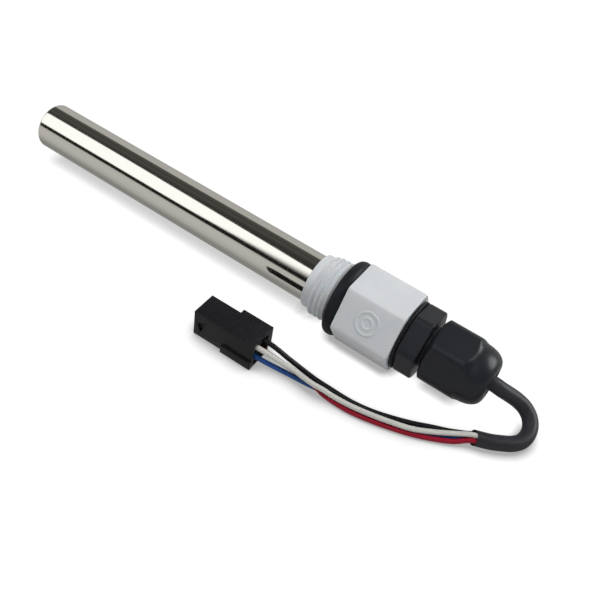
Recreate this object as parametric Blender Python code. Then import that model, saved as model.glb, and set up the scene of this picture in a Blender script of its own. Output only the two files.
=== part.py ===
"""Optical level sensor: a stainless probe tube with a prism tip in a hexagonal screw plug, with a
cable gland, a short cable, four wires and a four-way connector. The probe's axis runs along X.
"""

import math

import bmesh
import bpy
from mathutils import Matrix, Vector

# All lengths are in metres. A station is a distance along the probe's axis from the seal face, the
# hexagon's face that closes on the vessel; stations grow towards the cable.

# Clearances
FIT = 0.00025  # between pieces that seat on each other
RUN = 0.0003  # round a piece that slides or is threaded through

# Probe tube and its tip
TUBE_OD = 0.0162
TUBE_WALL = 0.0010
TUBE_REACH = 0.1300  # seal face to the tube's closed end
TIP_ROUND = 0.0008
PRISM_D = 0.0094
PRISM_BLUNT = 0.0004  # radius of the flat on the cone's point
PRISM_FLANGE = 0.0022
PRISM_SEAL = 0.0009
HOLDER_LENGTH = 0.0090
HOLDER_SLOT = 0.0028
LENS_D = 0.0029
LENS_LENGTH = 0.0046
LENS_RIM = 0.0004
LENS_LEG = 0.0005
LENS_LEG_SPREAD = 0.00065
LENS_REACH = 0.0066  # length of each leg behind the lens body
LENS_SPREAD = 0.0024  # from the axis to each lens

# Circuit board and what stands on it
BOARD_LENGTH = 0.0655
BOARD_WIDTH = 0.0104
BOARD_THICK = 0.0012
BOARD_TOP = -0.0010  # height of the board's upper face over the axis
RING_LENGTH = 0.0030
RING_FROM_END = 0.0075  # the ring's rear face to the board's rear end
CAN_D = 0.0052
CAN_LENGTH = 0.0076
CAN_FROM_DIODE = 0.0005
DIODE_SIZE = (0.0043, 0.0026, 0.0022)
DIODE_FROM_RING = 0.0006
LEAD_D = 0.0013
LEAD_PAD_PITCH = 0.0024
BUNG_LENGTH = 0.0058
BUNG_HOLE = 0.0019  # from the axis to each lead, across and up
LEAD_BUNDLE = 0.00085  # the same at the cable's inner end

# Screw plug
HEX_AF = 0.0240
HEX_LENGTH = 0.0197
HEX_CHAMFER = 0.0009
NECK_LENGTH = 0.0141
COLLAR_LENGTH = 0.0025
COLLAR_D = 0.0183
RIM_BREAK = 0.0004
THREAD_OD = 0.0207
THREAD_PITCH = 0.001814
THREAD_DEPTH = 0.00115
WEB = 0.0023  # wall between the tube's seat and the gland's thread
WEB_HOLE_D = 0.0120
GROOVE_DEPTH = 0.00125
GROOVE_WIDTH = 0.0024
GROOVE_FROM_END = 0.0037  # from the groove's front wall to the tube's rear end
PLUG_SEAL_OD = 0.0257
PLUG_SEAL_WIDTH = 0.00415

# Cable gland
WASHER_OD = 0.0230
WASHER_THICK = 0.0009
BASE_AF = 0.0203
BASE_HEX_LENGTH = 0.0061
BASE_TURN = math.radians(44)
SPIGOT_D = 0.0152
SPIGOT_LENGTH = 0.0091
BASE_BORE = 0.0064
NECK_D = 0.0138
NECK_GAP = 0.0011
BASE_THREAD_D = 0.0150
BASE_THREAD_LENGTH = 0.0083
CLAW_D = 0.0132
CLAW_LENGTH = 0.0048
CLAW_SLOT = 0.0012
CLAW_PAIRS = 3
SEAT_D = 0.0104
SEAT_DEPTH = 0.0103
INSERT_LENGTH = 0.0145
INSERT_NOSE = 0.0086
NUT_AF = 0.0200
NUT_CORNER_D = 0.0219
NUT_HEX_LENGTH = 0.0124
NUT_LENGTH = 0.0206
NUT_GAP = 0.0014  # open thread between the base's hexagon and the nut
NUT_TURN = math.radians(9.4)
MOUTH_D = 0.0076
MOUTH_FLARE = 0.0008
MOUTH_LENGTH = 0.0031

# Cable, wires and connector
CABLE_D = 0.0048
WIRE_D = 0.0016
PLUG_LENGTH = 0.0222
PLUG_WIDTH = 0.0088
PLUG_HEIGHT = 0.0100
PLUG_YAW = math.radians(1.0)
PLUG_REAR = (-0.01385, -0.0291)  # rear face's middle: station, and distance across from the axis
CAVITY_WIDTH = 0.0030
CAVITY_HEIGHT = 0.0034
CAVITY_ACROSS = 0.0036  # pitch of the cavities
CAVITY_UP = 0.0044
CAVITY_FLOOR = 0.0030  # height of the lower cavities' middles
RAIL_LENGTH = 0.0112
RAIL_NEAR = 0.00095
RAIL_NEAR_HEIGHT = 0.0030
RAIL_FAR = 0.00165
RAIL_FAR_HEIGHT = 0.0070
CRIMP_DEPTH = 0.0040  # from the housing's rear face to the end of each wire
CRIMP_LENGTH = 0.0035
CRIMP_TAPER = 0.0006
CRIMP_WAIST = 0.0014
CONTACT_LENGTH = 0.0075

# Smoothness
ROUND = 48
SMALL_ROUND = 24

# Stations that follow from the sizes
TUBE_R = TUBE_OD / 2
TUBE_IN_R = TUBE_R - TUBE_WALL
TUBE_END = -TUBE_REACH
SEAL_AT = TUBE_END + TUBE_WALL + FIT
FLANGE_AT = SEAL_AT + PRISM_SEAL + FIT
HOLDER_AT = FLANGE_AT + PRISM_FLANGE + FIT
HOLDER_END = HOLDER_AT + HOLDER_LENGTH
BOARD_AT = HOLDER_END - HOLDER_SLOT + FIT
BOARD_END = BOARD_AT + BOARD_LENGTH
BOARD_CLEAR = BOARD_LENGTH - RING_FROM_END - RING_LENGTH
PRISM_R = PRISM_D / 2
CONE_BASE = TUBE_END - FIT / 2
PRISM_POINT = CONE_BASE - (PRISM_R - PRISM_BLUNT)
PLUG_BORE_R = TUBE_R + FIT
SPIGOT_AT = HEX_LENGTH + 2 * FIT + WASHER_THICK - SPIGOT_LENGTH
WEB_END = SPIGOT_AT - RUN
TUBE_SEAT = WEB_END - WEB
TUBE_REAR = TUBE_SEAT - FIT
WASHER_AT = HEX_LENGTH + FIT
BASE_AT = WASHER_AT + WASHER_THICK + FIT
BASE_NECK = BASE_AT + BASE_HEX_LENGTH
BASE_THREAD = BASE_NECK + NECK_GAP
CLAWS_AT = BASE_THREAD + BASE_THREAD_LENGTH
CLAWS_END = CLAWS_AT + CLAW_LENGTH
SEAT_AT = CLAWS_END - SEAT_DEPTH
NUT_AT = BASE_NECK + NUT_GAP
NUT_END = NUT_AT + NUT_LENGTH
INSERT_AT = SEAT_AT + RUN
CABLE_AT = BASE_AT + BASE_HEX_LENGTH - 0.0022
SEAL_R = PLUG_SEAL_OD / 2

# The part lies with its widest ring, the plug's seal, on the ground at height zero, and the middle of
# its length, cable and connector apart, at X zero.
AXIS_HEIGHT = SEAL_R
MIDDLE = (PRISM_POINT + NUT_END) / 2

# The cable's route: station, distance across and height over the ground in millimetres.
CABLE_ROUTE = [
    (25.0, 0, 12.85), (30, 0, 12.85), (35, 0, 12.85), (40, 0, 12.85), (44, 0, 12.85), (47, 0.02, 12.83),
    (49.35, 0.45, 12.55), (52, 1.0, 11.6), (54.6, 2.15, 10.2), (57.2, 3.4, 8.45), (60, 3.8, 6.85),
    (62.5, 2.85, 5.4), (64.2, 0.8, 4.1), (64.75, -1.9, 3.15), (64.15, -4.65, 2.6), (62.4, -7.0, 2.42),
    (59.75, -8.95, 2.42), (56.95, -10.65, 2.42), (54.4, -11.8, 2.42), (52.3, -12.65, 2.42),
]
# The wires' routes in the same measures, from the cable's end to the connector.
WIRE_ROUTES = {
    "black": [
        (51.52, -11.69, 2.42), (49.6, -12.4, 1.8), (47.2, -13.3, 1.2), (44.7, -14.4, 0.84),
        (40.5, -16.35, 0.84), (35, -19.1, 0.84), (29.3, -21.4, 0.84), (23.3, -23.3, 0.84),
        (16.6, -24.4, 0.84), (8.1, -24.5, 0.84), (4.6, -24.6, 1.0), (1.1, -24.8, 1.7), (-2.3, -25.3, 3.0),
        (-5.7, -26, 4.6), (-8.7, -26.7, 6.3), (-11.5, -27.1, 7.3), (-13.9, -27.3, 7.4),
        (-17.85, -27.37, 7.4),
    ],
    "white": [
        (51.95, -12.78, 3.59), (49.9, -13.8, 3.35), (46.8, -15.65, 2.8), (41.7, -18.9, 2.45),
        (36.3, -22.0, 2.45), (30.35, -24, 2.45), (24, -25.7, 2.45), (17.9, -26.9, 2.45), (12.2, -27.5, 2.6),
        (8.7, -28.3, 3.75), (5.4, -28.85, 4.2), (1.6, -28.5, 4.0), (-2, -28.05, 3.85), (-5.2, -28.45, 4.35),
        (-8.2, -29.35, 5.5), (-11.2, -30.4, 7.0), (-13.9, -30.85, 7.4), (-17.85, -30.97, 7.4),
    ],
    "blue": [
        (51.95, -12.78, 1.25), (49.6, -14.05, 0.88), (45.9, -16.2, 0.84), (41.3, -18.4, 0.84),
        (35.7, -21.1, 0.84), (29.9, -23.15, 0.84), (23.7, -24.9, 0.84), (17.6, -26.05, 0.84),
        (12.3, -26.2, 0.84), (9, -26.35, 0.84), (7.2, -26.75, 0.84), (4.5, -27.3, 0.84), (1.1, -27.75, 0.84),
        (-3.3, -28.3, 0.98), (-7.6, -29.5, 1.9), (-11, -30.55, 2.8), (-13.9, -30.85, 3.0),
        (-17.85, -30.97, 3.0),
    ],
    "red": [
        (52.38, -13.87, 2.42), (50.6, -15.0, 1.95), (47.6, -17.2, 1.15), (42.5, -20.0, 0.88),
        (36.9, -22.6, 0.84), (30.6, -24.8, 0.84), (24.1, -26.6, 0.84), (18.1, -27.7, 0.84),
        (12.3, -27.95, 0.9), (9, -28.1, 1.5), (7, -27.95, 2.15), (5, -27.7, 2.5), (3, -27.5, 2.5),
        (0.5, -27.3, 2.45), (-2.5, -27.1, 2.3), (-6, -27.1, 2.45), (-9.5, -27.25, 2.8), (-13.9, -27.3, 3.0),
        (-17.85, -27.37, 3.0),
    ],
}
WIRE_PLACES = {"black": (1, 1), "white": (-1, 1), "blue": (-1, 0), "red": (1, 0)}

COLOURS = {
    "black": (0.020, 0.020, 0.024), "white": (0.62, 0.62, 0.58),
    "blue": (0.040, 0.115, 0.320), "red": (0.250, 0.012, 0.028),
}


def clear_scene():
    for obj in list(bpy.data.objects):
        bpy.data.objects.remove(obj, do_unlink=True)


def material(name, colour, roughness, metallic=0.0, transmission=0.0):
    made = bpy.data.materials.new(name)
    made.use_nodes = True
    shader = made.node_tree.nodes["Principled BSDF"]
    shader.inputs["Base Color"].default_value = (*colour, 1)
    shader.inputs["Roughness"].default_value = roughness
    shader.inputs["Metallic"].default_value = metallic
    shader.inputs["Transmission Weight"].default_value = transmission
    return made


def add_object(name, mesh, finish, place=(0, 0, 0), turn=0.0):
    """Adds an object at a station, a distance across and a height over the axis."""
    obj = bpy.data.objects.new(name, mesh)
    obj.location = (place[0] - MIDDLE, place[1], place[2] + AXIS_HEIGHT)
    obj.rotation_euler.x = turn
    mesh.materials.append(finish)
    bpy.context.scene.collection.objects.link(obj)
    return obj


def finish_mesh(name, bm, smooth=True):
    bmesh.ops.recalc_face_normals(bm, faces=bm.faces)
    mesh = bpy.data.meshes.new(name)
    bm.to_mesh(mesh)
    bm.free()
    if smooth:
        mesh.shade_smooth()
        mesh.set_sharp_from_angle(angle=math.radians(35))
    return mesh


def turned(name, outline, finish, sides=ROUND, radius_at=None, **place):
    """Turns an outline of (along, radius) points about X. An outline that starts and ends on the axis
    makes a solid, any other is closed into a ring. radius_at(along, radius, angle) shapes the outside.
    """
    bm = bmesh.new()
    rings = []
    for along, radius in outline:
        if radius < 1e-7:
            rings.append([bm.verts.new((along, 0, 0))] * sides)
            continue
        ring = []
        for k in range(sides):
            angle = 2 * math.pi * k / sides
            r = radius_at(along, radius, angle) if radius_at else radius
            ring.append(bm.verts.new((along, r * math.cos(angle), r * math.sin(angle))))
        rings.append(ring)
    pairs = list(zip(rings, rings[1:]))
    if outline[0][1] > 1e-7:
        pairs.append((rings[-1], rings[0]))
    for first, second in pairs:
        for k in range(sides):
            corners = [first[k], first[(k + 1) % sides], second[(k + 1) % sides], second[k]]
            bm.faces.new(list(dict.fromkeys(corners)))
    return add_object(name, finish_mesh(name, bm), finish, **place)


def hexagon(across_flats):
    """A radius_at function that cuts six flats, with a corner at angle zero."""

    def radius_at(along, radius, angle):
        off_flat = (angle % (math.pi / 3)) - math.pi / 6
        return min(radius, across_flats / 2 / math.cos(off_flat))

    return radius_at


def blocks(name, boxes, finish, **place):
    """One mesh of separate boxes, each given by its low and high corner."""
    bm = bmesh.new()
    for low, high in boxes:
        made = bmesh.ops.create_cube(bm, size=1.0)["verts"]
        size = Vector(high) - Vector(low)
        middle = (Vector(high) + Vector(low)) / 2
        bmesh.ops.transform(bm, matrix=Matrix.Translation(middle) @ Matrix.Diagonal((*size, 1)), verts=made)
    return add_object(name, finish_mesh(name, bm, smooth=False), finish, **place)


def combine(target, tool, operation="DIFFERENCE"):
    """Cuts a tool out of a target, or joins it on, and marks the tool as a guide."""
    modifier = target.modifiers.new(tool.name, "BOOLEAN")
    modifier.operation = operation
    modifier.solver = "EXACT"
    modifier.object = tool
    tool.hide_render = True
    tool.display_type = "WIRE"


def smooth_curve(points, step):
    """Points about a step apart on a smooth curve through the route's points."""
    points = [Vector(p) for p in points]
    padded = [2 * points[0] - points[1], *points, 2 * points[-1] - points[-2]]
    fine = []
    for a, b, c, d in zip(padded, padded[1:], padded[2:], padded[3:]):
        for k in range(12):
            t = k / 12
            square = (2 * a - 5 * b + 4 * c - d) * t**2
            cube = (3 * b - a - 3 * c + d) * t**3
            fine.append(0.5 * (2 * b + (c - a) * t + square + cube))
    fine.append(points[-1])
    lengths = [0.0]
    for a, b in zip(fine, fine[1:]):
        lengths.append(lengths[-1] + (b - a).length)
    count = max(2, round(lengths[-1] / step))
    spaced = []
    at = 0
    for k in range(count + 1):
        target = lengths[-1] * k / count
        while at < len(fine) - 2 and lengths[at + 1] < target:
            at += 1
        share = (target - lengths[at]) / max(lengths[at + 1] - lengths[at], 1e-9)
        spaced.append(fine[at].lerp(fine[at + 1], min(1, share)))
    return spaced


def cord(name, points, diameter, finish, step, resolution=2):
    """A round cord along a curve through points in the part's own frame."""
    curve = bpy.data.curves.new(name, "CURVE")
    curve.dimensions = "3D"
    curve.bevel_depth = diameter / 2
    curve.bevel_resolution = resolution
    curve.use_fill_caps = True
    spline = curve.splines.new("POLY")
    route = smooth_curve(points, step)
    spline.points.add(len(route) - 1)
    for point, place in zip(spline.points, route):
        point.co = (*place, 1)
    curve.materials.append(finish)
    obj = bpy.data.objects.new(name, curve)
    bpy.context.scene.collection.objects.link(obj)
    return obj


def from_route(route):
    return [(x / 1000 - MIDDLE, y / 1000, z / 1000) for x, y, z in route]


def arc(middle, radius, start, end, count):
    """Points on an arc, with its angles in degrees from the direction of growing stations."""
    points = []
    for k in range(count + 1):
        angle = math.radians(start + (end - start) * k / count)
        points.append((middle[0] + radius * math.cos(angle), middle[1] + radius * math.sin(angle)))
    return points


def make_tube(steel):
    hole = PRISM_R + RUN
    turned("probe_tube", [
        (TUBE_REAR, TUBE_IN_R), (TUBE_REAR, TUBE_R),
        *arc((TUBE_END + TIP_ROUND, TUBE_R - TIP_ROUND), TIP_ROUND, 90, 180, 4),
        (TUBE_END, hole), (TUBE_END + TUBE_WALL, hole), (TUBE_END + TUBE_WALL, TUBE_IN_R),
    ], steel)


def make_optics(clear, rubber, moulding, lens_blue, lens_dark):
    flange = TUBE_IN_R - RUN
    turned("prism_tip", [
        (PRISM_POINT, 0), (PRISM_POINT, PRISM_BLUNT), (CONE_BASE, PRISM_R), (FLANGE_AT, PRISM_R),
        (FLANGE_AT, flange), (FLANGE_AT + PRISM_FLANGE, flange), (FLANGE_AT + PRISM_FLANGE, 0),
    ], clear, sides=36)
    turned("prism_seal", [
        (SEAL_AT, PRISM_R + FIT), (SEAL_AT, flange), (SEAL_AT + PRISM_SEAL, flange),
        (SEAL_AT + PRISM_SEAL, PRISM_R + FIT),
    ], rubber, sides=36)
    holder = turned("optics_holder", [
        (HOLDER_AT, 0), (HOLDER_AT, flange), (HOLDER_END, flange), (HOLDER_END, 0),
    ], moulding, sides=36)
    bore = LENS_D / 2 + LENS_RIM + FIT
    beyond = 0.001
    for side, name in ((-1, "emitter_bore"), (1, "receiver_bore")):
        tool = turned(name, [
            (HOLDER_AT - beyond, 0), (HOLDER_AT - beyond, bore), (HOLDER_END + beyond, bore),
            (HOLDER_END + beyond, 0),
        ], moulding, sides=SMALL_ROUND, place=(0, side * LENS_SPREAD, 0))
        combine(holder, tool)
    slot = BOARD_WIDTH / 2 + FIT
    combine(holder, blocks("holder_slot", [(
        (HOLDER_END - HOLDER_SLOT, -slot, BOARD_TOP - BOARD_THICK - FIT),
        (HOLDER_END + beyond, slot, BOARD_TOP + FIT),
    )], moulding))
    for side, name, finish in ((-1, "infrared_emitter", lens_blue), (1, "phototransistor", lens_dark)):
        make_lens(name, side * LENS_SPREAD, finish)


def make_lens(name, across, finish):
    """A round-nosed optical component with its two legs, which reach back over the board."""
    radius = LENS_D / 2
    nose = HOLDER_AT + RUN
    rear = nose + LENS_LENGTH + radius
    leg = LENS_LEG
    reach = LENS_REACH
    lens = turned(name, [
        (nose, 0), *arc((nose + radius, 0), radius, 157.5, 90, 3), (rear - 0.0008, radius),
        (rear - 0.0008, radius + LENS_RIM), (rear, radius + LENS_RIM), (rear, 0),
    ], finish, sides=16, place=(0, across, 0))
    low = BOARD_TOP + FIT
    legs = []
    for side in (-1, 1):
        y = across + side * LENS_LEG_SPREAD
        legs.append(((rear - leg, y - leg / 2, low), (rear + reach, y + leg / 2, low + leg)))
    combine(lens, blocks(name + "_legs", legs, finish), "UNION")


def make_board(laminate, moulding, chip_black, ceramic, can_metal):
    edge = BOARD_WIDTH / 2
    blocks("circuit_board", [(
        (BOARD_AT, -edge, BOARD_TOP - BOARD_THICK), (BOARD_END, edge, BOARD_TOP),
    )], laminate)
    radius = TUBE_IN_R - RUN
    ring_end = BOARD_END - RING_FROM_END
    ring = turned("board_ring", [
        (ring_end - RING_LENGTH, 0), (ring_end - RING_LENGTH, radius), (ring_end, radius), (ring_end, 0),
    ], moulding, sides=36)
    combine(ring, blocks("ring_slot", [(
        (ring_end - 2 * RING_LENGTH, -edge - FIT, BOARD_TOP - BOARD_THICK - FIT),
        (ring_end + RING_LENGTH, edge + FIT, BOARD_TOP + FIT),
    )], moulding))
    diode_share = 1 - (DIODE_FROM_RING + DIODE_SIZE[0] / 2) / BOARD_CLEAR
    # Each component: its middle as a share of the board between its front end and the ring, and its
    # distance across; its length, width and height; and how many legs it has on a side, at what pitch.
    standing = {
        "comparator_chip": ((0.236, 0), (0.0049, 0.0039, 0.0015), 4, 0.00127, chip_black),
        "resistor_1": ((0.364, -0.0032), (0.0032, 0.0016, 0.0006), 0, 0, chip_black),
        "resistor_2": ((0.364, 0.0032), (0.0032, 0.0016, 0.0006), 0, 0, chip_black),
        "resistor_3": ((0.445, -0.0032), (0.0032, 0.0016, 0.0006), 0, 0, chip_black),
        "resistor_4": ((0.445, 0.0032), (0.0032, 0.0016, 0.0006), 0, 0, chip_black),
        "ceramic_capacitor_1": ((0.364, 0), (0.0032, 0.0025, 0.0013), 0, 0, ceramic),
        "ceramic_capacitor_2": ((0.445, 0), (0.0032, 0.0025, 0.0013), 0, 0, ceramic),
        "output_transistor": ((0.536, 0), (0.0030, 0.0030, 0.0012), 2, 0.0015, chip_black),
        "voltage_regulator": ((0.655, 0), (0.0065, 0.0035, 0.0017), 3, 0.0023, chip_black),
        "protection_diode": ((diode_share, 0), DIODE_SIZE, 0, 0, chip_black),
    }
    for name, (middle, size, legs, pitch, finish) in standing.items():
        make_component(name, middle, size, legs, pitch, finish)
    can_r = CAN_D / 2
    rim = 0.0004
    can_at = BOARD_AT + BOARD_CLEAR - DIODE_FROM_RING - DIODE_SIZE[0] - CAN_FROM_DIODE - CAN_LENGTH
    turned("filter_capacitor", [
        (can_at, 0), (can_at, can_r - rim), (can_at + rim, can_r), (can_at + CAN_LENGTH - rim, can_r),
        (can_at + CAN_LENGTH, can_r - rim), (can_at + CAN_LENGTH, 0),
    ], can_metal, sides=SMALL_ROUND, place=(0, 0, BOARD_TOP + FIT + can_r))


def make_component(name, middle, size, legs, pitch, finish):
    x, y = BOARD_AT + middle[0] * BOARD_CLEAR, middle[1]
    low = BOARD_TOP + FIT
    half = [s / 2 for s in size]
    corners = ((x - half[0], y - half[1], low), (x + half[0], y + half[1], low + size[2]))
    body = blocks(name, [corners], finish)
    if not legs:
        return
    leg, out, thick = 0.0004, 0.0011, 0.00025
    boxes = []
    for k in range(legs):
        at = x + (k - (legs - 1) / 2) * pitch
        reach = half[1] + out
        boxes.append(((at - leg / 2, y - reach, low + thick), (at + leg / 2, y + reach, low + 2 * thick)))
    combine(body, blocks(name + "_legs", boxes, finish), "UNION")


def make_leads(finishes, rubber):
    """The bung in the tube's rear end and the four leads from the board to the cable."""
    radius = TUBE_IN_R - RUN
    bung_end = TUBE_REAR - FIT
    bung_at = bung_end - BUNG_LENGTH
    bung = turned("tube_bung", [
        (bung_at, 0), (bung_at, radius), (bung_end, radius), (bung_end, 0),
    ], rubber, sides=36)
    places = {"black": (-1, 1), "white": (-1, -1), "blue": (1, -1), "red": (1, 1)}
    for k, (colour, (across, up)) in enumerate(places.items()):
        y, z = across * BUNG_HOLE, up * BUNG_HOLE
        hole = LEAD_D / 2 + RUN
        tool = turned("bung_hole_" + colour, [
            (bung_at - 0.001, 0), (bung_at - 0.001, hole), (bung_end + 0.001, hole), (bung_end + 0.001, 0),
        ], rubber, sides=12, place=(0, y, z))
        combine(bung, tool)
        pad = (k - 1.5) * LEAD_PAD_PITCH
        lift = BOARD_TOP + FIT + LEAD_D / 2
        narrow = LEAD_BUNDLE * 1.7
        route = [
            (BOARD_END - 0.0040, pad, lift), (BOARD_END - 0.0010, pad, lift), (BOARD_END + 0.0030, pad, lift),
            (BOARD_END + 0.0180, (pad + y) / 2, (lift + z) / 2), (bung_at - 0.0120, y, z), (bung_at, y, z),
            (bung_end, y, z), (SPIGOT_AT, across * narrow, up * narrow),
            (SPIGOT_AT + 0.0060, across * LEAD_BUNDLE, up * LEAD_BUNDLE),
            (CABLE_AT - RUN, across * LEAD_BUNDLE, up * LEAD_BUNDLE),
        ]
        route = [(x - MIDDLE, across_at, up_at + AXIS_HEIGHT) for x, across_at, up_at in route]
        cord("inner_lead_" + colour, route, LEAD_D, finishes[colour], 0.005)


def thread_radius(along, radius, angle):
    """The plug's outside: a rounded right-hand thread between the collar and the seal's groove."""
    start = -NECK_LENGTH + COLLAR_LENGTH
    end = -PLUG_SEAL_WIDTH - FIT
    if not start < along < end:
        return radius
    fade = min(1, (along - start) / (THREAD_PITCH / 2), (end - along) / (THREAD_PITCH / 2))
    wave = 0.5 + 0.5 * math.cos(2 * math.pi * along / THREAD_PITCH - angle)
    return radius + THREAD_DEPTH * fade * wave


def make_plug(grey, rubber):
    root = THREAD_OD / 2 - THREAD_DEPTH
    collar_end = -NECK_LENGTH + COLLAR_LENGTH
    thread_end = -PLUG_SEAL_WIDTH - FIT
    steps = round((thread_end - collar_end) / (THREAD_PITCH / 6))
    thread = [(collar_end + (thread_end - collar_end) * k / steps, root) for k in range(1, steps)]
    spigot_r = SPIGOT_D / 2 + RUN
    groove = TUBE_REAR - GROOVE_FROM_END
    groove_r = PLUG_BORE_R + GROOVE_DEPTH
    corner_r = HEX_AF / math.sqrt(3)
    flats = hexagon(HEX_AF)

    def outside(along, radius, angle):
        if along < 0:
            return thread_radius(along, radius, angle) if abs(radius - root) < 1e-9 else radius
        return flats(along, radius, angle)

    turned("screw_plug", [
        (-NECK_LENGTH, PLUG_BORE_R), (-NECK_LENGTH, COLLAR_D / 2 - RIM_BREAK),
        (-NECK_LENGTH + RIM_BREAK, COLLAR_D / 2), (collar_end, COLLAR_D / 2), *thread, (thread_end, root),
        (-1e-5, root), (0, corner_r * 1.01), (HEX_LENGTH - HEX_CHAMFER, corner_r * 1.01),
        (HEX_LENGTH, corner_r - HEX_CHAMFER), (HEX_LENGTH, spigot_r), (WEB_END, spigot_r),
        (WEB_END, WEB_HOLE_D / 2), (TUBE_SEAT, WEB_HOLE_D / 2), (TUBE_SEAT, PLUG_BORE_R),
        (groove + GROOVE_WIDTH, PLUG_BORE_R), (groove + GROOVE_WIDTH, groove_r), (groove, groove_r),
        (groove, PLUG_BORE_R),
    ], grey, radius_at=outside)
    ring_wide = GROOVE_WIDTH - 2 * FIT
    ring_in = TUBE_R + 0.0001
    ring_out = groove_r - FIT
    turned("tube_seal", [
        (groove + FIT + ring_wide / 2 + ring_wide / 2 * math.cos(a), (ring_in + ring_out) / 2
         + (ring_out - ring_in) / 2 * math.sin(a)) for a in [2 * math.pi * k / 8 for k in range(8)]
    ], rubber, sides=36)
    inner_r = root + 0.0001
    half_wide = (PLUG_SEAL_WIDTH - 0.0001) / 2
    half_thick = (SEAL_R - inner_r) / 2
    section = []
    for k in range(16):
        c, s = math.cos(2 * math.pi * k / 16), math.sin(2 * math.pi * k / 16)
        section.append((
            -PLUG_SEAL_WIDTH + half_wide + half_wide * math.copysign(abs(c) ** 0.85, c),
            inner_r + half_thick + half_thick * math.copysign(abs(s) ** 0.85, s),
        ))
    turned("plug_seal", section, rubber)


def make_gland(nylon, rubber):
    spigot_r = SPIGOT_D / 2
    turned("gland_washer", [
        (WASHER_AT, spigot_r + RUN), (WASHER_AT, WASHER_OD / 2), (WASHER_AT + WASHER_THICK, WASHER_OD / 2),
        (WASHER_AT + WASHER_THICK, spigot_r + RUN),
    ], rubber)
    corner = BASE_AF / math.sqrt(3) * 1.001
    bore, seat_r, thread_r, claw_r = BASE_BORE / 2, SEAT_D / 2, BASE_THREAD_D / 2, CLAW_D / 2
    base = turned("gland_base", [
        (SPIGOT_AT, bore), (SPIGOT_AT, spigot_r - 0.0005), (SPIGOT_AT + 0.0005, spigot_r),
        (BASE_AT, spigot_r), (BASE_AT, corner - 0.0012), (BASE_AT + 0.0006, corner - 0.0004),
        (BASE_AT + 0.0014, corner), (BASE_NECK - 0.0005, corner), (BASE_NECK, corner - 0.0008),
        (BASE_NECK, NECK_D / 2), (BASE_THREAD, NECK_D / 2), (BASE_THREAD, thread_r), (CLAWS_AT, thread_r),
        (CLAWS_AT, claw_r), (CLAWS_END - 0.0006, claw_r), (CLAWS_END, claw_r - 0.0005), (CLAWS_END, seat_r),
        (SEAT_AT, seat_r), (SEAT_AT, bore),
    ], nylon, radius_at=hexagon(BASE_AF), turn=BASE_TURN)
    for k in range(CLAW_PAIRS):
        tool = blocks(f"claw_slot_{k + 1}", [(
            (CLAWS_AT, -2 * claw_r, -CLAW_SLOT / 2), (CLAWS_END + 0.001, 2 * claw_r, CLAW_SLOT / 2),
        )], nylon, turn=math.pi * (k + 0.27) / CLAW_PAIRS)
        combine(base, tool)
    cable_r = CABLE_D / 2 + FIT
    insert_end = INSERT_AT + INSERT_LENGTH
    turned("seal_insert", [
        (INSERT_AT, cable_r), (INSERT_AT, seat_r - RUN), (insert_end - 0.0022, seat_r - RUN),
        (insert_end, INSERT_NOSE / 2), (insert_end, cable_r),
    ], rubber, sides=36)
    make_nut(nylon, insert_end + RUN)


def make_nut(nylon, mouth_at):
    """The dome nut. Its own origin is on the axis at its rear face, because it turns and travels."""
    flats = NUT_AF / 2
    corner = NUT_CORNER_D / 2
    thread_r = BASE_THREAD_D / 2 + FIT
    dome = NUT_LENGTH - NUT_HEX_LENGTH
    shoulder = NUT_HEX_LENGTH + 0.0004
    mouth = MOUTH_D / 2
    # The dome is a quarter of an ellipse from the flats' radius to the mouth.
    rounding = []
    for k in range(7):
        angle = math.radians(90 * k / 6)
        rounding.append((
            shoulder + 0.0016 + (dome - 0.0020) * math.sin(angle),
            mouth + MOUTH_FLARE + (flats - 0.0001 - mouth - MOUTH_FLARE) * math.cos(angle) ** 0.75,
        ))
    mouth_from = mouth_at - NUT_AT
    turned("gland_nut", [
        (0, thread_r), (0, flats - 0.0012), (0.0005, flats - 0.0005), (0.0013, flats + 0.0002),
        (0.0024, corner), (NUT_HEX_LENGTH - 0.0004, corner), (shoulder, flats), *rounding,
        (NUT_LENGTH - MOUTH_FLARE, mouth), (mouth_from, mouth), (mouth_from, mouth + 0.0009),
        (mouth_from - 0.0039, thread_r - 0.0005), (mouth_from - 0.0044, thread_r),
    ], nylon, radius_at=hexagon(NUT_AF), place=(NUT_AT, 0, 0), turn=NUT_TURN)


def plug_place(along, across, up):
    """A place in the part's frame from distances in front of the housing's rear face, across and up."""
    turn = Matrix.Rotation(PLUG_YAW, 3, "Z")
    spot = turn @ Vector((-along, across, 0))
    return Vector((PLUG_REAR[0] - MIDDLE + spot.x, PLUG_REAR[1] + spot.y, up))


def set_on_plug(obj):
    obj.location = plug_place(0, 0, 0)
    obj.rotation_euler.z = PLUG_YAW


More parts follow.
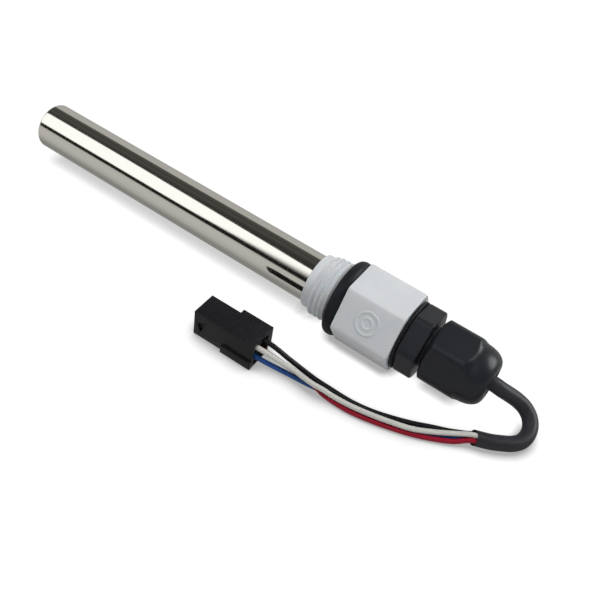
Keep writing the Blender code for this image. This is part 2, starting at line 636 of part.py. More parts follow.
def make_connector(nylon, brass):
    half = PLUG_WIDTH / 2
    shell = blocks("connector_housing", [((-PLUG_LENGTH, -half, 0), (0, half, PLUG_HEIGHT))], nylon)
    rails = {
        "near_rail": ((-RAIL_LENGTH, -half - RAIL_NEAR, 0), (0, -half + 0.001, RAIL_NEAR_HEIGHT)),
        "far_rail": (
            (-RAIL_LENGTH, half - 0.001, PLUG_HEIGHT - RAIL_FAR_HEIGHT), (0, half + RAIL_FAR, PLUG_HEIGHT),
        ),
    }
    for name, box in rails.items():
        rail = blocks(name, [box], nylon)
        set_on_plug(rail)
        combine(shell, rail, "UNION")
    for colour, (side, level) in WIRE_PLACES.items():
        y = side * CAVITY_ACROSS / 2
        z = CAVITY_FLOOR + level * CAVITY_UP
        w, h = CAVITY_WIDTH / 2, CAVITY_HEIGHT / 2
        through = ((-PLUG_LENGTH - 0.001, y - w, z - h), (0.001, y + w, z + h))
        cavity = blocks("cavity_" + colour, [through], nylon)
        set_on_plug(cavity)
        combine(shell, cavity)
        make_terminal("terminal_" + colour, y, z, brass)
    set_on_plug(shell)


def make_terminal(name, across, up, brass):
    """A crimped contact: a square socket in front, a waist, and a barrel round the wire's end."""
    half = CAVITY_WIDTH / 2 - RUN
    barrel = WIRE_D / 2 + 0.0002
    waist = barrel * 0.6
    crimp = -CRIMP_DEPTH - RUN
    waist_from = crimp - CRIMP_LENGTH
    waist_to = waist_from - CRIMP_WAIST
    sections = [
        (crimp, barrel), (waist_from, barrel), (waist_from - CRIMP_TAPER, waist),
        (waist_to - CRIMP_TAPER, waist), (waist_to - 2 * CRIMP_TAPER, half),
        (waist_to - 2 * CRIMP_TAPER - CONTACT_LENGTH, half),
    ]
    bm = bmesh.new()
    rings = []
    for x, r in sections:
        corners = ((-r, -r), (r, -r), (r, r), (-r, r))
        rings.append([bm.verts.new((x, across + y, up + z)) for y, z in corners])
    for first, second in zip(rings, rings[1:]):
        for k in range(4):
            bm.faces.new([first[k], first[(k + 1) % 4], second[(k + 1) % 4], second[k]])
    bm.faces.new(rings[0])
    bm.faces.new(rings[-1])
    set_on_plug(add_object(name, finish_mesh(name, bm, smooth=False), brass))


def make_cords(jacket, finishes):
    cord("cable_jacket", from_route(CABLE_ROUTE), CABLE_D, jacket, CABLE_D / 2, resolution=3)
    for colour, route in WIRE_ROUTES.items():
        cord("wire_" + colour, from_route(route), WIRE_D, finishes[colour], 0.0025)


def main():
    clear_scene()
    steel = material("polished stainless steel", (0.62, 0.61, 0.58), 0.12, 1.0)
    grey = material("grey moulded plastic", (0.62, 0.65, 0.66), 0.45)
    nylon = material("black nylon", (0.018, 0.018, 0.020), 0.38)
    rubber = material("black rubber", (0.022, 0.022, 0.024), 0.55)
    clear = material("clear prism", (0.90, 0.93, 0.92), 0.05, 0.0, 0.9)
    moulding = material("black holder plastic", (0.03, 0.03, 0.03), 0.5)
    jacket = material("black cable sheath", (0.030, 0.030, 0.034), 0.42)
    laminate = material("green board laminate", (0.02, 0.16, 0.06), 0.4)
    chip_black = material("component epoxy", (0.03, 0.03, 0.03), 0.5)
    ceramic = material("tan ceramic", (0.42, 0.30, 0.18), 0.5)
    can_metal = material("capacitor can", (0.55, 0.56, 0.58), 0.3, 1.0)
    lens_blue = material("emitter epoxy", (0.10, 0.18, 0.40), 0.1, 0.0, 0.5)
    lens_dark = material("receiver epoxy", (0.05, 0.04, 0.05), 0.1, 0.0, 0.3)
    brass = material("tinned brass", (0.60, 0.55, 0.42), 0.3, 1.0)
    finishes = {colour: material(colour + " wire sleeve", rgb, 0.4) for colour, rgb in COLOURS.items()}
    make_tube(steel)
    make_optics(clear, rubber, moulding, lens_blue, lens_dark)
    make_board(laminate, moulding, chip_black, ceramic, can_metal)
    make_leads(finishes, rubber)
    make_plug(grey, rubber)
    make_gland(nylon, rubber)
    make_connector(nylon, brass)
    make_cords(jacket, finishes)


main()
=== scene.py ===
"""The visible pieces of an optical level sensor, built over its solids: a polished probe tube in a light
grey screw plug, with a black cable gland, a short cable, four wires and a small connector.
"""

import math

import bmesh
import bpy
from bpy.props import FloatProperty, FloatVectorProperty, PointerProperty
from mathutils import Matrix, Vector


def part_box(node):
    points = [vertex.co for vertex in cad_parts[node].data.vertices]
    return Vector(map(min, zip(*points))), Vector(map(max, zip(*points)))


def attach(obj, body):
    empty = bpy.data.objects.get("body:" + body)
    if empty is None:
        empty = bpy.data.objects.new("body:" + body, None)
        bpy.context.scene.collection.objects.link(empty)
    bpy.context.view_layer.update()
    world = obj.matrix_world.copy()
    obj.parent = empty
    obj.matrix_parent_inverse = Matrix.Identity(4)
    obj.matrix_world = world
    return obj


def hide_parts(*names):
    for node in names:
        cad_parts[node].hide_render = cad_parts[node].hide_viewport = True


bl_info = {
    "name": "Optical Level Sensor",
    "version": (1, 0, 0),
    "blender": (4, 5, 0),
    "location": "3D View > Sidebar > Level Sensor",
    "description": "Builds an optical level sensor's visible pieces over its solids",
    "category": "Object",
}

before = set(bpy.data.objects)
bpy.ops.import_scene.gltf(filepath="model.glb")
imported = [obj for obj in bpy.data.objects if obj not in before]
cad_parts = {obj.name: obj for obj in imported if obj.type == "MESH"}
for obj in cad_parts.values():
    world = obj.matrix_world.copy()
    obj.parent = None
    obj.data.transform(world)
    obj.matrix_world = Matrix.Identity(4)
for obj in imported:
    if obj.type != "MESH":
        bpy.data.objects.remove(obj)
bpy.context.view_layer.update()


def colour(code):
    """An sRGB hex colour as the linear values that Blender's sockets hold."""
    values = [int(code[k : k + 2], 16) / 255 for k in (1, 3, 5)]
    return [v / 12.92 if v <= 0.04045 else ((v + 0.055) / 1.055) ** 2.4 for v in values]


# The plug's hexagon, then places that are read from the solids, all in metres. A station is a distance
# along the probe's axis from the plug's seal face, towards the cable.
HEX_LENGTH = 0.0197
SEAL_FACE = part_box("screw_plug")[1].x - HEX_LENGTH
AXIS_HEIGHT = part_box("plug_seal")[1].z / 2


def ends(node):
    """The stations where a solid starts and ends."""
    low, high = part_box(node)
    return low.x - SEAL_FACE, high.x - SEAL_FACE


PLUG_FRONT = ends("screw_plug")[0]
TUBE_TIP, TUBE_REAR = ends("probe_tube")
PRISM_POINT, PRISM_REAR = ends("prism_tip")
WASHER_FRONT, WASHER_REAR = ends("gland_washer")
BASE_REAR = ends("gland_base")[1]
NUT_FRONT, NUT_REAR = ends("gland_nut")
# Radius of the bore that the plug's rear end and the washer share.
GLAND_BORE = 0.0079

# Routes of the cable and wires in millimetres: station, distance across from the axis, height.
CABLE_ROUTE = [
    (25.0, 0, 12.85), (30, 0, 12.85), (35, 0, 12.85), (40, 0, 12.85), (44, 0, 12.85), (47, 0.02, 12.83),
    (49.35, 0.45, 12.55), (52, 1.0, 11.6), (54.6, 2.15, 10.2), (57.2, 3.4, 8.45), (60, 3.8, 6.85),
    (62.5, 2.85, 5.4), (64.2, 0.8, 4.1), (64.75, -1.9, 3.15), (64.15, -4.65, 2.6), (62.4, -7.0, 2.42),
    (59.75, -8.95, 2.42), (56.95, -10.65, 2.42), (54.4, -11.8, 2.42), (52.3, -12.65, 2.42),
]
WIRE_ROUTES = {
    "black": [
        (51.52, -11.69, 2.42), (49.6, -12.4, 1.8), (47.2, -13.3, 1.2), (44.7, -14.4, 0.84),
        (40.5, -16.35, 0.84), (35, -19.1, 0.84), (29.3, -21.4, 0.84), (23.3, -23.3, 0.84),
        (16.6, -24.4, 0.84), (8.1, -24.5, 0.84), (4.6, -24.6, 1.0), (1.1, -24.8, 1.7), (-2.3, -25.3, 3.0),
        (-5.7, -26, 4.6), (-8.7, -26.7, 6.3), (-11.5, -27.1, 7.3), (-13.9, -27.3, 7.4),
        (-17.85, -27.37, 7.4),
    ],
    "white": [
        (51.95, -12.78, 3.59), (49.9, -13.8, 3.35), (46.8, -15.65, 2.8), (41.7, -18.9, 2.45),
        (36.3, -22.0, 2.45), (30.35, -24, 2.45), (24, -25.7, 2.45), (17.9, -26.9, 2.45), (12.2, -27.5, 2.6),
        (8.7, -28.3, 3.75), (5.4, -28.85, 4.2), (1.6, -28.5, 4.0), (-2, -28.05, 3.85), (-5.2, -28.45, 4.35),
        (-8.2, -29.35, 5.5), (-11.2, -30.4, 7.0), (-13.9, -30.85, 7.4), (-17.85, -30.97, 7.4),
    ],
    "blue": [
        (51.95, -12.78, 1.25), (49.6, -14.05, 0.88), (45.9, -16.2, 0.84), (41.3, -18.4, 0.84),
        (35.7, -21.1, 0.84), (29.9, -23.15, 0.84), (23.7, -24.9, 0.84), (17.6, -26.05, 0.84),
        (12.3, -26.2, 0.84), (9, -26.35, 0.84), (7.2, -26.75, 0.84), (4.5, -27.3, 0.84), (1.1, -27.75, 0.84),
        (-3.3, -28.3, 0.98), (-7.6, -29.5, 1.9), (-11, -30.55, 2.8), (-13.9, -30.85, 3.0),
        (-17.85, -30.97, 3.0),
    ],
    "red": [
        (52.38, -13.87, 2.42), (50.6, -15.0, 1.95), (47.6, -17.2, 1.15), (42.5, -20.0, 0.88),
        (36.9, -22.6, 0.84), (30.6, -24.8, 0.84), (24.1, -26.6, 0.84), (18.1, -27.7, 0.84),
        (12.3, -27.95, 0.9), (9, -28.1, 1.5), (7, -27.95, 2.15), (5, -27.7, 2.5), (3, -27.5, 2.5),
        (0.5, -27.3, 2.45), (-2.5, -27.1, 2.3), (-6, -27.1, 2.45), (-9.5, -27.25, 2.8), (-13.9, -27.3, 3.0),
        (-17.85, -27.37, 3.0),
    ],
}
# Each wire's place in the cable and in the connector: across and up.
WIRE_IN_CABLE = {"black": (1.17, 0), "white": (0, 1.17), "blue": (0, -1.17), "red": (-1.17, 0)}
WIRE_IN_PLUG = {"black": (1, 1), "white": (-1, 1), "blue": (-1, 0), "red": (1, 0)}
# Where the wires start inside the cable's open end: station, across, height.
CABLE_INSIDE = (55.0, -11.53, 2.42)
# Distance between neighbouring points of a cord, in metres.
CORD_STEP = 0.0008

# The connector: its rear face's middle, its turn about the vertical, and its solid's sizes.
PLUG_REAR = (-0.01385, -0.0291)
PLUG_YAW = math.radians(1.0)
PLUG_LENGTH = 0.0222
PLUG_WIDTH = 0.0088
PLUG_HEIGHT = 0.0100
RAIL_LENGTH = 0.0112
CAVITY_WIDTH = 0.0030
CAVITY_HEIGHT = 0.0034
CAVITY_ACROSS = 0.0036
CAVITY_UP = 0.0044
CAVITY_FLOOR = 0.0030


def length(name, text, default):
    return FloatProperty(name=name, description=text, default=default, unit="LENGTH", precision=5)


def angle(name, text, degrees):
    return FloatProperty(name=name, description=text, default=math.radians(degrees), subtype="ANGLE")


def paint(name, text, code):
    return FloatVectorProperty(
        name=name, description=text, default=colour(code), subtype="COLOR", min=0, max=1,
    )


class SensorProbeSettings(bpy.types.PropertyGroup):
    """Sizes and colours of the probe tube and its prism."""

    diameter: length("Tube diameter", "Outside diameter of the probe tube", 0.0162)
    wall: length("Wall", "Thickness of the tube's wall", 0.0010)
    tip_round: length("Tip rounding", "Radius round the tube's far end", 0.0008)
    prism_diameter: length("Prism diameter", "Diameter of the prism where it leaves the tube", 0.0094)
    steel: paint("Steel", "Colour of the polished tube", "#cdcac3")
    prism: paint("Prism", "Colour of the clear prism", "#eef3f2")


class SensorPlugSettings(bpy.types.PropertyGroup):
    """Sizes and colours of the screw plug and its sealing ring."""

    across_flats: length("Across flats", "Width of the hexagon across its flats", 0.0240)
    edge: length("Edge rounding", "Softness of the hexagon's moulded edges", 0.00025)
    chamfer: length("Chamfer", "Length of the bevel on the hexagon's cable end", 0.0006)
    collar_diameter: length("Collar diameter", "Diameter of the plain collar before the thread", 0.0183)
    collar_length: length("Collar length", "Length of the plain collar", 0.0025)
    thread_diameter: length("Thread diameter", "Diameter over the thread's crests", 0.0207)
    thread_pitch: length("Thread pitch", "Distance from crest to crest", 0.001814)
    thread_depth: length("Thread depth", "Height of the crests over the roots", 0.00115)
    ring_diameter: length("Ring mark diameter", "Diameter of the raised ring on the side flat", 0.0072)
    eye_diameter: length("Eye mark diameter", "Diameter of the small raised ring inside it", 0.0034)
    ring_line: length("Ring mark width", "Width of both raised rings", 0.0009)
    ring_rise: length("Ring mark height", "Height of both raised rings", 0.00024)
    seal_diameter: length("Seal diameter", "Outside diameter of the sealing ring", 0.0257)
    seal_width: length("Seal width", "Width of the sealing ring along the axis", 0.00415)
    body: paint("Plug", "Colour of the plug's plastic", "#d3d6d8")
    rubber: paint("Rubber", "Colour of the sealing ring", "#202125")


class SensorGlandSettings(bpy.types.PropertyGroup):
    """Sizes and colours of the cable gland."""

    base_flats: length("Base across flats", "Width of the base's hexagon across its flats", 0.0203)
    base_turn: angle("Base turn", "Turn of the base's hexagon about the axis", 44)
    nut_flats: length("Nut across flats", "Width of the nut across its flats", 0.0200)
    nut_corners: length("Nut over corners", "Diameter that the nut's corners are cut to", 0.0219)
    nut_turn: angle("Nut turn", "Turn of the nut about the axis, tightened", 9.4)
    nut_hexagon: length("Nut hexagon", "Length of the nut up to its dome", 0.0124)
    mouth: length("Mouth diameter", "Diameter of the hole that the cable leaves through", 0.0076)
    washer_diameter: length("Washer diameter", "Outside diameter of the washer", 0.0230)
    edge: length("Edge rounding", "Softness of the moulded edges", 0.00025)
    nylon: paint("Nylon", "Colour of the gland's plastic", "#26272b")


class SensorCableSettings(bpy.types.PropertyGroup):
    """Sizes and colours of the cable and its wires."""

    cable: length("Cable diameter", "Diameter of the cable", 0.0048)
    bore: length("Cable bore", "Diameter inside the cable's cut end", 0.0041)
    wire: length("Wire diameter", "Diameter of each wire over its sleeve", 0.0016)
    sheath: paint("Cable", "Colour of the cable's sheath", "#303034")
    black: paint("Black wire", "Colour of the black wire", "#17171b")
    white: paint("White wire", "Colour of the white wire", "#c7c6bf")
    blue: paint("Blue wire", "Colour of the blue wire", "#27508f")
    red: paint("Red wire", "Colour of the red wire", "#8c1027")


class SensorConnectorSettings(bpy.types.PropertyGroup):
    """Sizes and colours of the wire connector."""

    edge: length("Edge rounding", "Softness of the housing's moulded edges", 0.00018)
    near_rail: length("Near rail", "How far the near rail stands out", 0.00095)
    near_rail_height: length("Near rail height", "Height of the near rail", 0.0030)
    far_rail: length("Far rail", "How far the far rail stands out", 0.00165)
    far_rail_height: length("Far rail height", "Height of the far rail", 0.0070)
    recess: length("Recess", "Depth of the hollow in the rear face", 0.0012)
    nylon: paint("Housing", "Colour of the connector's plastic", "#19191c")
    contact: paint("Contacts", "Colour of the tinned contacts", "#b9b39f")


class SensorStageSettings(bpy.types.PropertyGroup):
    """The camera and the floor."""

    azimuth: angle("Azimuth", "Camera's bearing round the part, from the front", 26.60)
    elevation: angle("Elevation", "Camera's height over the horizon", 46.29)
    roll: angle("Roll", "Camera's turn about its own line of sight", 11.23)
    distance: length("Distance", "Camera's distance from its target", 0.2684)
    focal: FloatProperty(
        name="Focal length", description="Lens in millimetres", default=48.6, subtype="DISTANCE_CAMERA",
    )
    floor: paint("Floor", "Colour of the pale floor", "#f4f4f4")


def put(name, data):
    """A new object in the scene."""
    obj = bpy.data.objects.new(name, data)
    bpy.context.scene.collection.objects.link(obj)
    return obj


def link_mesh(name, mesh, finish, body, slot, *replaced):
    """Adds a finished mesh to the scene, on its body, in place of its solids."""
    obj = put(name, mesh)
    mesh.materials.clear()
    mesh.materials.append(finish)
    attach(obj, body)
    if replaced:
        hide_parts(*replaced)
    return obj


def plain_mesh(name, bm):
    mesh = bpy.data.meshes.new(name)
    bm.to_mesh(mesh)
    bm.free()
    return mesh


def mesh_of(name, bm, sharp_degrees=38):
    """A mesh with its doubled points merged, shaded smooth between its sharp edges."""
    bmesh.ops.remove_doubles(bm, verts=bm.verts, dist=1e-6)
    bmesh.ops.recalc_face_normals(bm, faces=bm.faces)
    mesh = plain_mesh(name, bm)
    mesh.shade_smooth()
    mesh.set_sharp_from_angle(angle=math.radians(sharp_degrees))
    return mesh


def evaluated_mesh(obj):
    """The mesh that an object's modifiers make."""
    bpy.context.view_layer.update()
    graph = bpy.context.evaluated_depsgraph_get()
    return bpy.data.meshes.new_from_object(obj.evaluated_get(graph))


def on_axis(along, radius, turn):
    """A point by its station, radius and angle; angle zero is +Y and grows towards +Z."""
    return Vector((
        SEAL_FACE + along, radius * math.cos(turn), AXIS_HEIGHT + radius * math.sin(turn),
    ))


def join_rings(bm, rings):
    """Faces between each ring of points and the next."""
    for first, second in zip(rings, rings[1:]):
        for k in range(len(first)):
            nxt = (k + 1) % len(first)
            bm.faces.new((first[k], first[nxt], second[nxt], second[k]))


def turn_outline(bm, outline, sides, six=None, edge=0.0, closed=False):
    """Adds an outline of (station, radius) points turned about the axis, cut back by a hexagon's faces
    where it stands outside them. A closed outline's last point joins its first one.
    """
    rings = []
    for along, limit in outline:
        ring = []
        for k in range(sides):
            turn = 2 * math.pi * k / sides
            radius = smaller(limit, six(turn), edge) if six else limit
            ring.append(bm.verts.new(on_axis(along, radius, turn)))
        rings.append(ring)
    join_rings(bm, [*rings, rings[0]] if closed else rings)


def turned(name, outline, sides, sharp_degrees=38, **how):
    """A mesh of its own from one outline turned about the axis."""
    bm = bmesh.new()
    turn_outline(bm, outline, sides, **how)
    return mesh_of(name, bm, sharp_degrees)


def smaller(a, b, blend):
    """The smaller of two lengths, with a rounded change from one to the other."""
    near = max(blend - abs(a - b), 0) / blend
    return min(a, b) - near * near * blend / 4


def faceted(flats, corners, turn, edge):
    """The radius at an angle of a hexagon whose corners are cut back by narrow flats."""

    def radius(direction):
        off_flat = (direction - turn) % (math.pi / 3) - math.pi / 6
        off_corner = math.pi / 6 - abs(off_flat)
        return smaller(flats / 2 / math.cos(off_flat), corners / 2 / math.cos(off_corner), edge)

    return radius


def rounded(points, radius, steps=4):
    """An open outline with its inner corners rounded by up to a radius."""
    points = [Vector(p) for p in points]
    result = [points[0]]
    for before, corner, after in zip(points, points[1:], points[2:]):
        to_before, to_after = before - corner, after - corner
        reach = min(radius, to_before.length * 0.45, to_after.length * 0.45)
        start = corner + to_before.normalized() * reach
        end = corner + to_after.normalized() * reach
        for k in range(steps + 1):
            t = k / steps
            result.append(start * (1 - t) ** 2 + corner * 2 * t * (1 - t) + end * t**2)
    result.append(points[-1])
    return [(p.x, p.y) for p in result]


def divided(points, step):
    """An outline with points added so that none lie further apart than a step."""
    result = [points[0]]
    for a, b in zip(points, points[1:]):
        a, b = Vector(a), Vector(b)
        count = max(1, math.ceil((b - a).length / step))
        for k in range(1, count + 1):
            spot = a.lerp(b, k / count)
            result.append((spot.x, spot.y))
    return result


def from_route(route):
    return [Vector((SEAL_FACE + x / 1000, y / 1000, z / 1000)) for x, y, z in route]


def distances(points):
    """How far along a line each of its points lies."""
    result = [0.0]
    for a, b in zip(points, points[1:]):
        result.append(result[-1] + (b - a).length)
    return result


def smooth_curve(points):
    """Points about a step apart on a smooth curve through the route's points."""
    padded = [2 * points[0] - points[1], *points, 2 * points[-1] - points[-2]]
    fine = []
    for a, b, c, d in zip(padded, padded[1:], padded[2:], padded[3:]):
        for k in range(16):
            t = k / 16
            square = (2 * a - 5 * b + 4 * c - d) * t**2
            cube = (3 * b - a - 3 * c + d) * t**3
            fine.append(0.5 * (2 * b + (c - a) * t + square + cube))
    fine.append(points[-1])
    travelled = distances(fine)
    count = max(2, round(travelled[-1] / CORD_STEP))
    spaced = []
    at = 0
    for k in range(count + 1):
        target = travelled[-1] * k / count
        while at < len(fine) - 2 and travelled[at + 1] < target:
            at += 1
        share = (target - travelled[at]) / max(travelled[at + 1] - travelled[at], 1e-9)
        spaced.append(fine[at].lerp(fine[at + 1], min(1, share)))
    return spaced


def path_frames(path):
    """Tangent, side and up directions at each point of a path, with the least twist."""
    tangents = []
    for k in range(len(path)):
        before, after = path[max(k - 1, 0)], path[min(k + 1, len(path) - 1)]
        tangents.append((after - before).normalized())
    side = tangents[0].cross(Vector((0, 0, 1))).normalized()
    frames = []
    for tangent in tangents:
        side = (side - tangent * side.dot(tangent)).normalized()
        frames.append((tangent, side, side.cross(tangent)))
    return frames


def sweep(name, path, radius, sides, bore=0.0, bore_depth=0.0, slant=None):
    """A round cord along a path, with a UV map in units of its diameter. A bore hollows its far end,
    which may be cut at a slant: longer on the side that the slant vector points to.
    """
    frames = path_frames(path)
    bm = bmesh.new()
    uv = bm.loops.layers.uv.new("cord")
    travelled = distances(path)
    first = [(0, 0.0), (0, radius * 0.9)]
    if bore:
        inside = max(k for k in range(len(path)) if travelled[-1] - travelled[k] >= bore_depth)
        rim = [(len(path) - 1, (radius + bore) / 2), (len(path) - 1, bore)]
        last = rim + [(k, bore) for k in range(len(path) - 2, inside - 1, -1)] + [(inside, 0.0)]
    else:
        last = [(len(path) - 1, radius * 0.9), (len(path) - 1, 0.0)]
    stations = first + [(k, radius) for k in range(len(path))] + last
    rings = []
    for k, r in stations:
        tangent, side, up = frames[k]
        ring = []
        for j in range(sides):
            turn = 2 * math.pi * j / sides
            spoke = side * (r * math.cos(turn)) + up * (r * math.sin(turn))
            shift = tangent * spoke.dot(slant) if slant and k == len(path) - 1 else Vector()
            ring.append(bm.verts.new(path[k] + spoke + shift))
        rings.append(ring)
    for n, (low, high) in enumerate(zip(rings, rings[1:])):
        rows = [travelled[stations[n][0]], travelled[stations[n + 1][0]]]
        for j in range(sides):
            nxt = (j + 1) % sides
            face = bm.faces.new((low[j], low[nxt], high[nxt], high[j]))
            for loop, (row, column) in zip(face.loops, ((0, j), (0, j + 1), (1, j + 1), (1, j))):
                loop[uv].uv = (rows[row] / (2 * radius), column / sides)
    return mesh_of(name, bm, 50)


# Most of a noise texture's values lie between these two.
NOISE_SPREAD = (0.3, 0.7)


def add_node(tree, kind, inputs=None, **settings):
    """One node with its settings; each input is a value or the socket that feeds it."""
    node = tree.nodes.new(kind)
    for key, value in settings.items():
        setattr(node, key, value)
    for key, value in (inputs or {}).items():
        if isinstance(value, bpy.types.NodeSocket):
            tree.links.new(value, node.inputs[key])
        else:
            node.inputs[key].default_value = value
    return node


def start_material(name, base, roughness, **sockets):
    """A material with its Principled shader set; returns it with its tree and shader."""
    made = bpy.data.materials.new(name)
    made.use_nodes = True
    tree = made.node_tree
    shader = tree.nodes["Principled BSDF"]
    shader.inputs["Base Color"].default_value = (*base, 1)
    shader.inputs["Roughness"].default_value = roughness
    for key, value in sockets.items():
        shader.inputs[key.replace("_", " ")].default_value = value
    return made, tree, shader


def maths_in(tree):
    """A function that adds a math node to a tree."""

    def math_node(operation, *values):
        inputs = dict(enumerate(values))
        return add_node(tree, "ShaderNodeMath", inputs, operation=operation).outputs["Value"]

    return math_node


def bumped(tree, shader, height, strength, distance):
    bump = add_node(tree, "ShaderNodeBump", {"Height": height, "Strength": strength, "Distance": distance})
    tree.links.new(bump.outputs["Normal"], shader.inputs["Normal"])


def ranged(tree, value, low, high, to_low, to_high):
    node = add_node(tree, "ShaderNodeMapRange", {
        "Value": value, "From Min": low, "From Max": high, "To Min": to_low, "To Max": to_high,
    })
    return node.outputs["Result"]


def eased(tree, value, low, high):
    """A rise from 0 to 1 between two values, with soft ends."""
    node = add_node(tree, "ShaderNodeMapRange", {
        "Value": value, "From Min": low, "From Max": high,
    }, interpolation_type="SMOOTHSTEP")
    return node.outputs["Result"]


def blended(tree, factor, first, second):
    """A mix of two colours, from 0 to 1."""
    return add_node(tree, "ShaderNodeMix", {0: factor, 6: first, 7: second}, data_type="RGBA").outputs[2]


def noise(tree, vector, scale, detail=2.0, roughness=0.5):
    node = add_node(tree, "ShaderNodeTexNoise", {
        "Vector": vector, "Scale": scale, "Detail": detail, "Roughness": roughness,
    })
    return node.outputs["Fac"]


def own_places(tree):
    """Places in a piece's own space, in metres."""
    return add_node(tree, "ShaderNodeTexCoord").outputs["Object"]


def stretched(tree, vector, scale):
    return add_node(tree, "ShaderNodeMapping", {"Vector": vector, "Scale": scale}).outputs["Vector"]


def mottled(tree, shader, wander, base, share):
    """Lets the colour wander by a share of itself, darker and lighter."""
    darker = [v * (1 - share) for v in base]
    lighter = [min(1, v * (1 + share)) for v in base]
    mixed = blended(tree, ranged(tree, wander, *NOISE_SPREAD, 0, 1), (*darker, 1), (*lighter, 1))
    tree.links.new(mixed, shader.inputs["Base Color"])


def roughened(tree, shader, wander, low, high):
    """Lets the roughness wander from a low to a high value."""
    tree.links.new(ranged(tree, wander, *NOISE_SPREAD, low, high), shader.inputs["Roughness"])


def polished_steel(base):
    """Drawn stainless tube, polished bright: long faint drawing lines and finer marks round it."""
    made, tree, shader = start_material("polished_stainless_steel", base, 0.09, Metallic=1.0)
    place = own_places(tree)
    # Drawing lines: 0.15 mm apart across, 12 mm long.
    lines = noise(tree, stretched(tree, place, (80, 6500, 6500)), 1.0, 3.0, 0.6)
    # Polishing marks run round the tube, 0.25 mm apart along it.
    marks = noise(tree, stretched(tree, place, (4000, 260, 260)), 1.0)
    both = maths_in(tree)("ADD", lines, marks)
    tree.links.new(ranged(tree, both, 0.8, 1.2, 0.05, 0.14), shader.inputs["Roughness"])
    bumped(tree, shader, both, 0.10, 0.00001)
    return made


def moulded(name, base, roughness, grain_mm, grain_depth, mottling=0.06, **sockets):
    """Moulded plastic: an even colour with a faint flow mottling and a fine grain from the tool."""
    made, tree, shader = start_material(name, base, roughness, **sockets)
    place = own_places(tree)
    grain = noise(tree, place, 1000 / grain_mm, 3.0, 0.6)
    mottled(tree, shader, noise(tree, place, 180.0), base, mottling)
    roughened(tree, shader, grain, roughness - 0.04, roughness + 0.06)
    bumped(tree, shader, grain, 0.5, grain_depth / 1000)
    return made


def vinyl(name, base, roughness, streak, shine=0.5):
    """Extruded vinyl sleeve: glossy, with faint streaks along it from the die."""
    made, tree, shader = start_material(name, base, roughness, Specular_IOR_Level=shine)
    along = add_node(tree, "ShaderNodeUVMap", uv_map="cord").outputs["UV"]
    lines = noise(tree, stretched(tree, along, (0.6, 14, 1)), 1.0)
    mottled(tree, shader, lines, base, streak)
    roughened(tree, shader, lines, roughness - 0.05, roughness + 0.08)
    bumped(tree, shader, lines, 0.10, 0.00001)
    return made


def hidden_finish(name, base, roughness, grain_mm, **sockets):
    """A plain finish with a fine grain, for the pieces inside."""
    made, tree, shader = start_material(name, base, roughness, **sockets)
    grain = noise(tree, own_places(tree), 1000 / grain_mm)
    roughened(tree, shader, grain, roughness - 0.05, roughness + 0.05)
    bumped(tree, shader, grain, 0.3, 0.00001)
    return made


def start_tree(name, sizes, counts):
    """A geometry tree with these sizes and counts as its inputs; returns it with their sockets."""
    tree = bpy.data.node_groups.new(name, "GeometryNodeTree")
    tree.interface.new_socket("Geometry", in_out="OUTPUT", socket_type="NodeSocketGeometry")
    for kind, inputs in (("NodeSocketFloat", sizes), ("NodeSocketInt", counts)):
        for label, value in inputs.items():
            socket = tree.interface.new_socket(label, in_out="INPUT", socket_type=kind)
            socket.default_value = value
    return tree, tree.nodes.new("NodeGroupInput").outputs


def end_tree(tree, geometry, finish):
    """Ends a geometry tree with a plain mesh in one finish."""
    real = add_node(tree, "GeometryNodeRealizeInstances", {"Geometry": geometry})
    dressed = add_node(tree, "GeometryNodeSetMaterial", {
        "Geometry": real.outputs["Geometry"], "Material": finish,
    })
    end = tree.nodes.new("NodeGroupOutput")
    tree.links.new(dressed.outputs["Geometry"], end.inputs["Geometry"])
    return tree


def thread_tree(finish):
    """A geometry tree for an external thread: a grid rolled round the axis and raised along a helix."""
    tree, given = start_tree("external_thread", {
        "Start": SEAL_FACE, "Length": 0.01, "Root Radius": 0.009, "Ridge Height": 0.001, "Pitch": 0.002,
        "Run Out": 0.001, "Axis Height": AXIS_HEIGHT,
    }, {"Steps": 60, "Sides": 144})
    math_node = maths_in(tree)
    columns = math_node("ADD", given["Sides"], 1.0)
    grid = add_node(tree, "GeometryNodeMeshGrid", {
        "Size X": given["Length"], "Size Y": 1.0, "Vertices X": given["Steps"], "Vertices Y": columns,
    })
    place = add_node(tree, "GeometryNodeInputPosition").outputs["Position"]
    split = add_node(tree, "ShaderNodeSeparateXYZ", {"Vector": place}).outputs
    turns = split["Y"]
    along = math_node("ADD", split["X"], math_node("MULTIPLY", given["Length"], 0.5))
    # The crest's phase grows along the axis and falls round it: a right-hand thread.
    phase = math_node("SUBTRACT", math_node("DIVIDE", along, given["Pitch"]), turns)
    wave = math_node("COSINE", math_node("MULTIPLY", phase, 2 * math.pi))
    crest = math_node("POWER", math_node("MULTIPLY_ADD", wave, 0.5, 0.5), 0.8)
    from_end = math_node("MINIMUM", along, math_node("SUBTRACT", given["Length"], along))
    fade = eased(tree, from_end, 0.0, given["Run Out"])
    rise = math_node("MULTIPLY", math_node("MULTIPLY", crest, fade), given["Ridge Height"])
    radius = math_node("ADD", given["Root Radius"], rise)
    turn = math_node("MULTIPLY", turns, 2 * math.pi)
    rolled = add_node(tree, "ShaderNodeCombineXYZ", {
        "X": math_node("ADD", given["Start"], along),
        "Y": math_node("MULTIPLY", radius, math_node("COSINE", turn)),
        "Z": math_node("MULTIPLY_ADD", radius, math_node("SINE", turn), given["Axis Height"]),
    }).outputs["Vector"]
    moved = add_node(tree, "GeometryNodeSetPosition", {"Geometry": grid.outputs["Mesh"], "Position": rolled})
    closed = add_node(tree, "GeometryNodeMergeByDistance", {
        "Geometry": moved.outputs["Geometry"], "Distance": 1e-6,
    })
    return end_tree(tree, closed.outputs["Geometry"], finish)


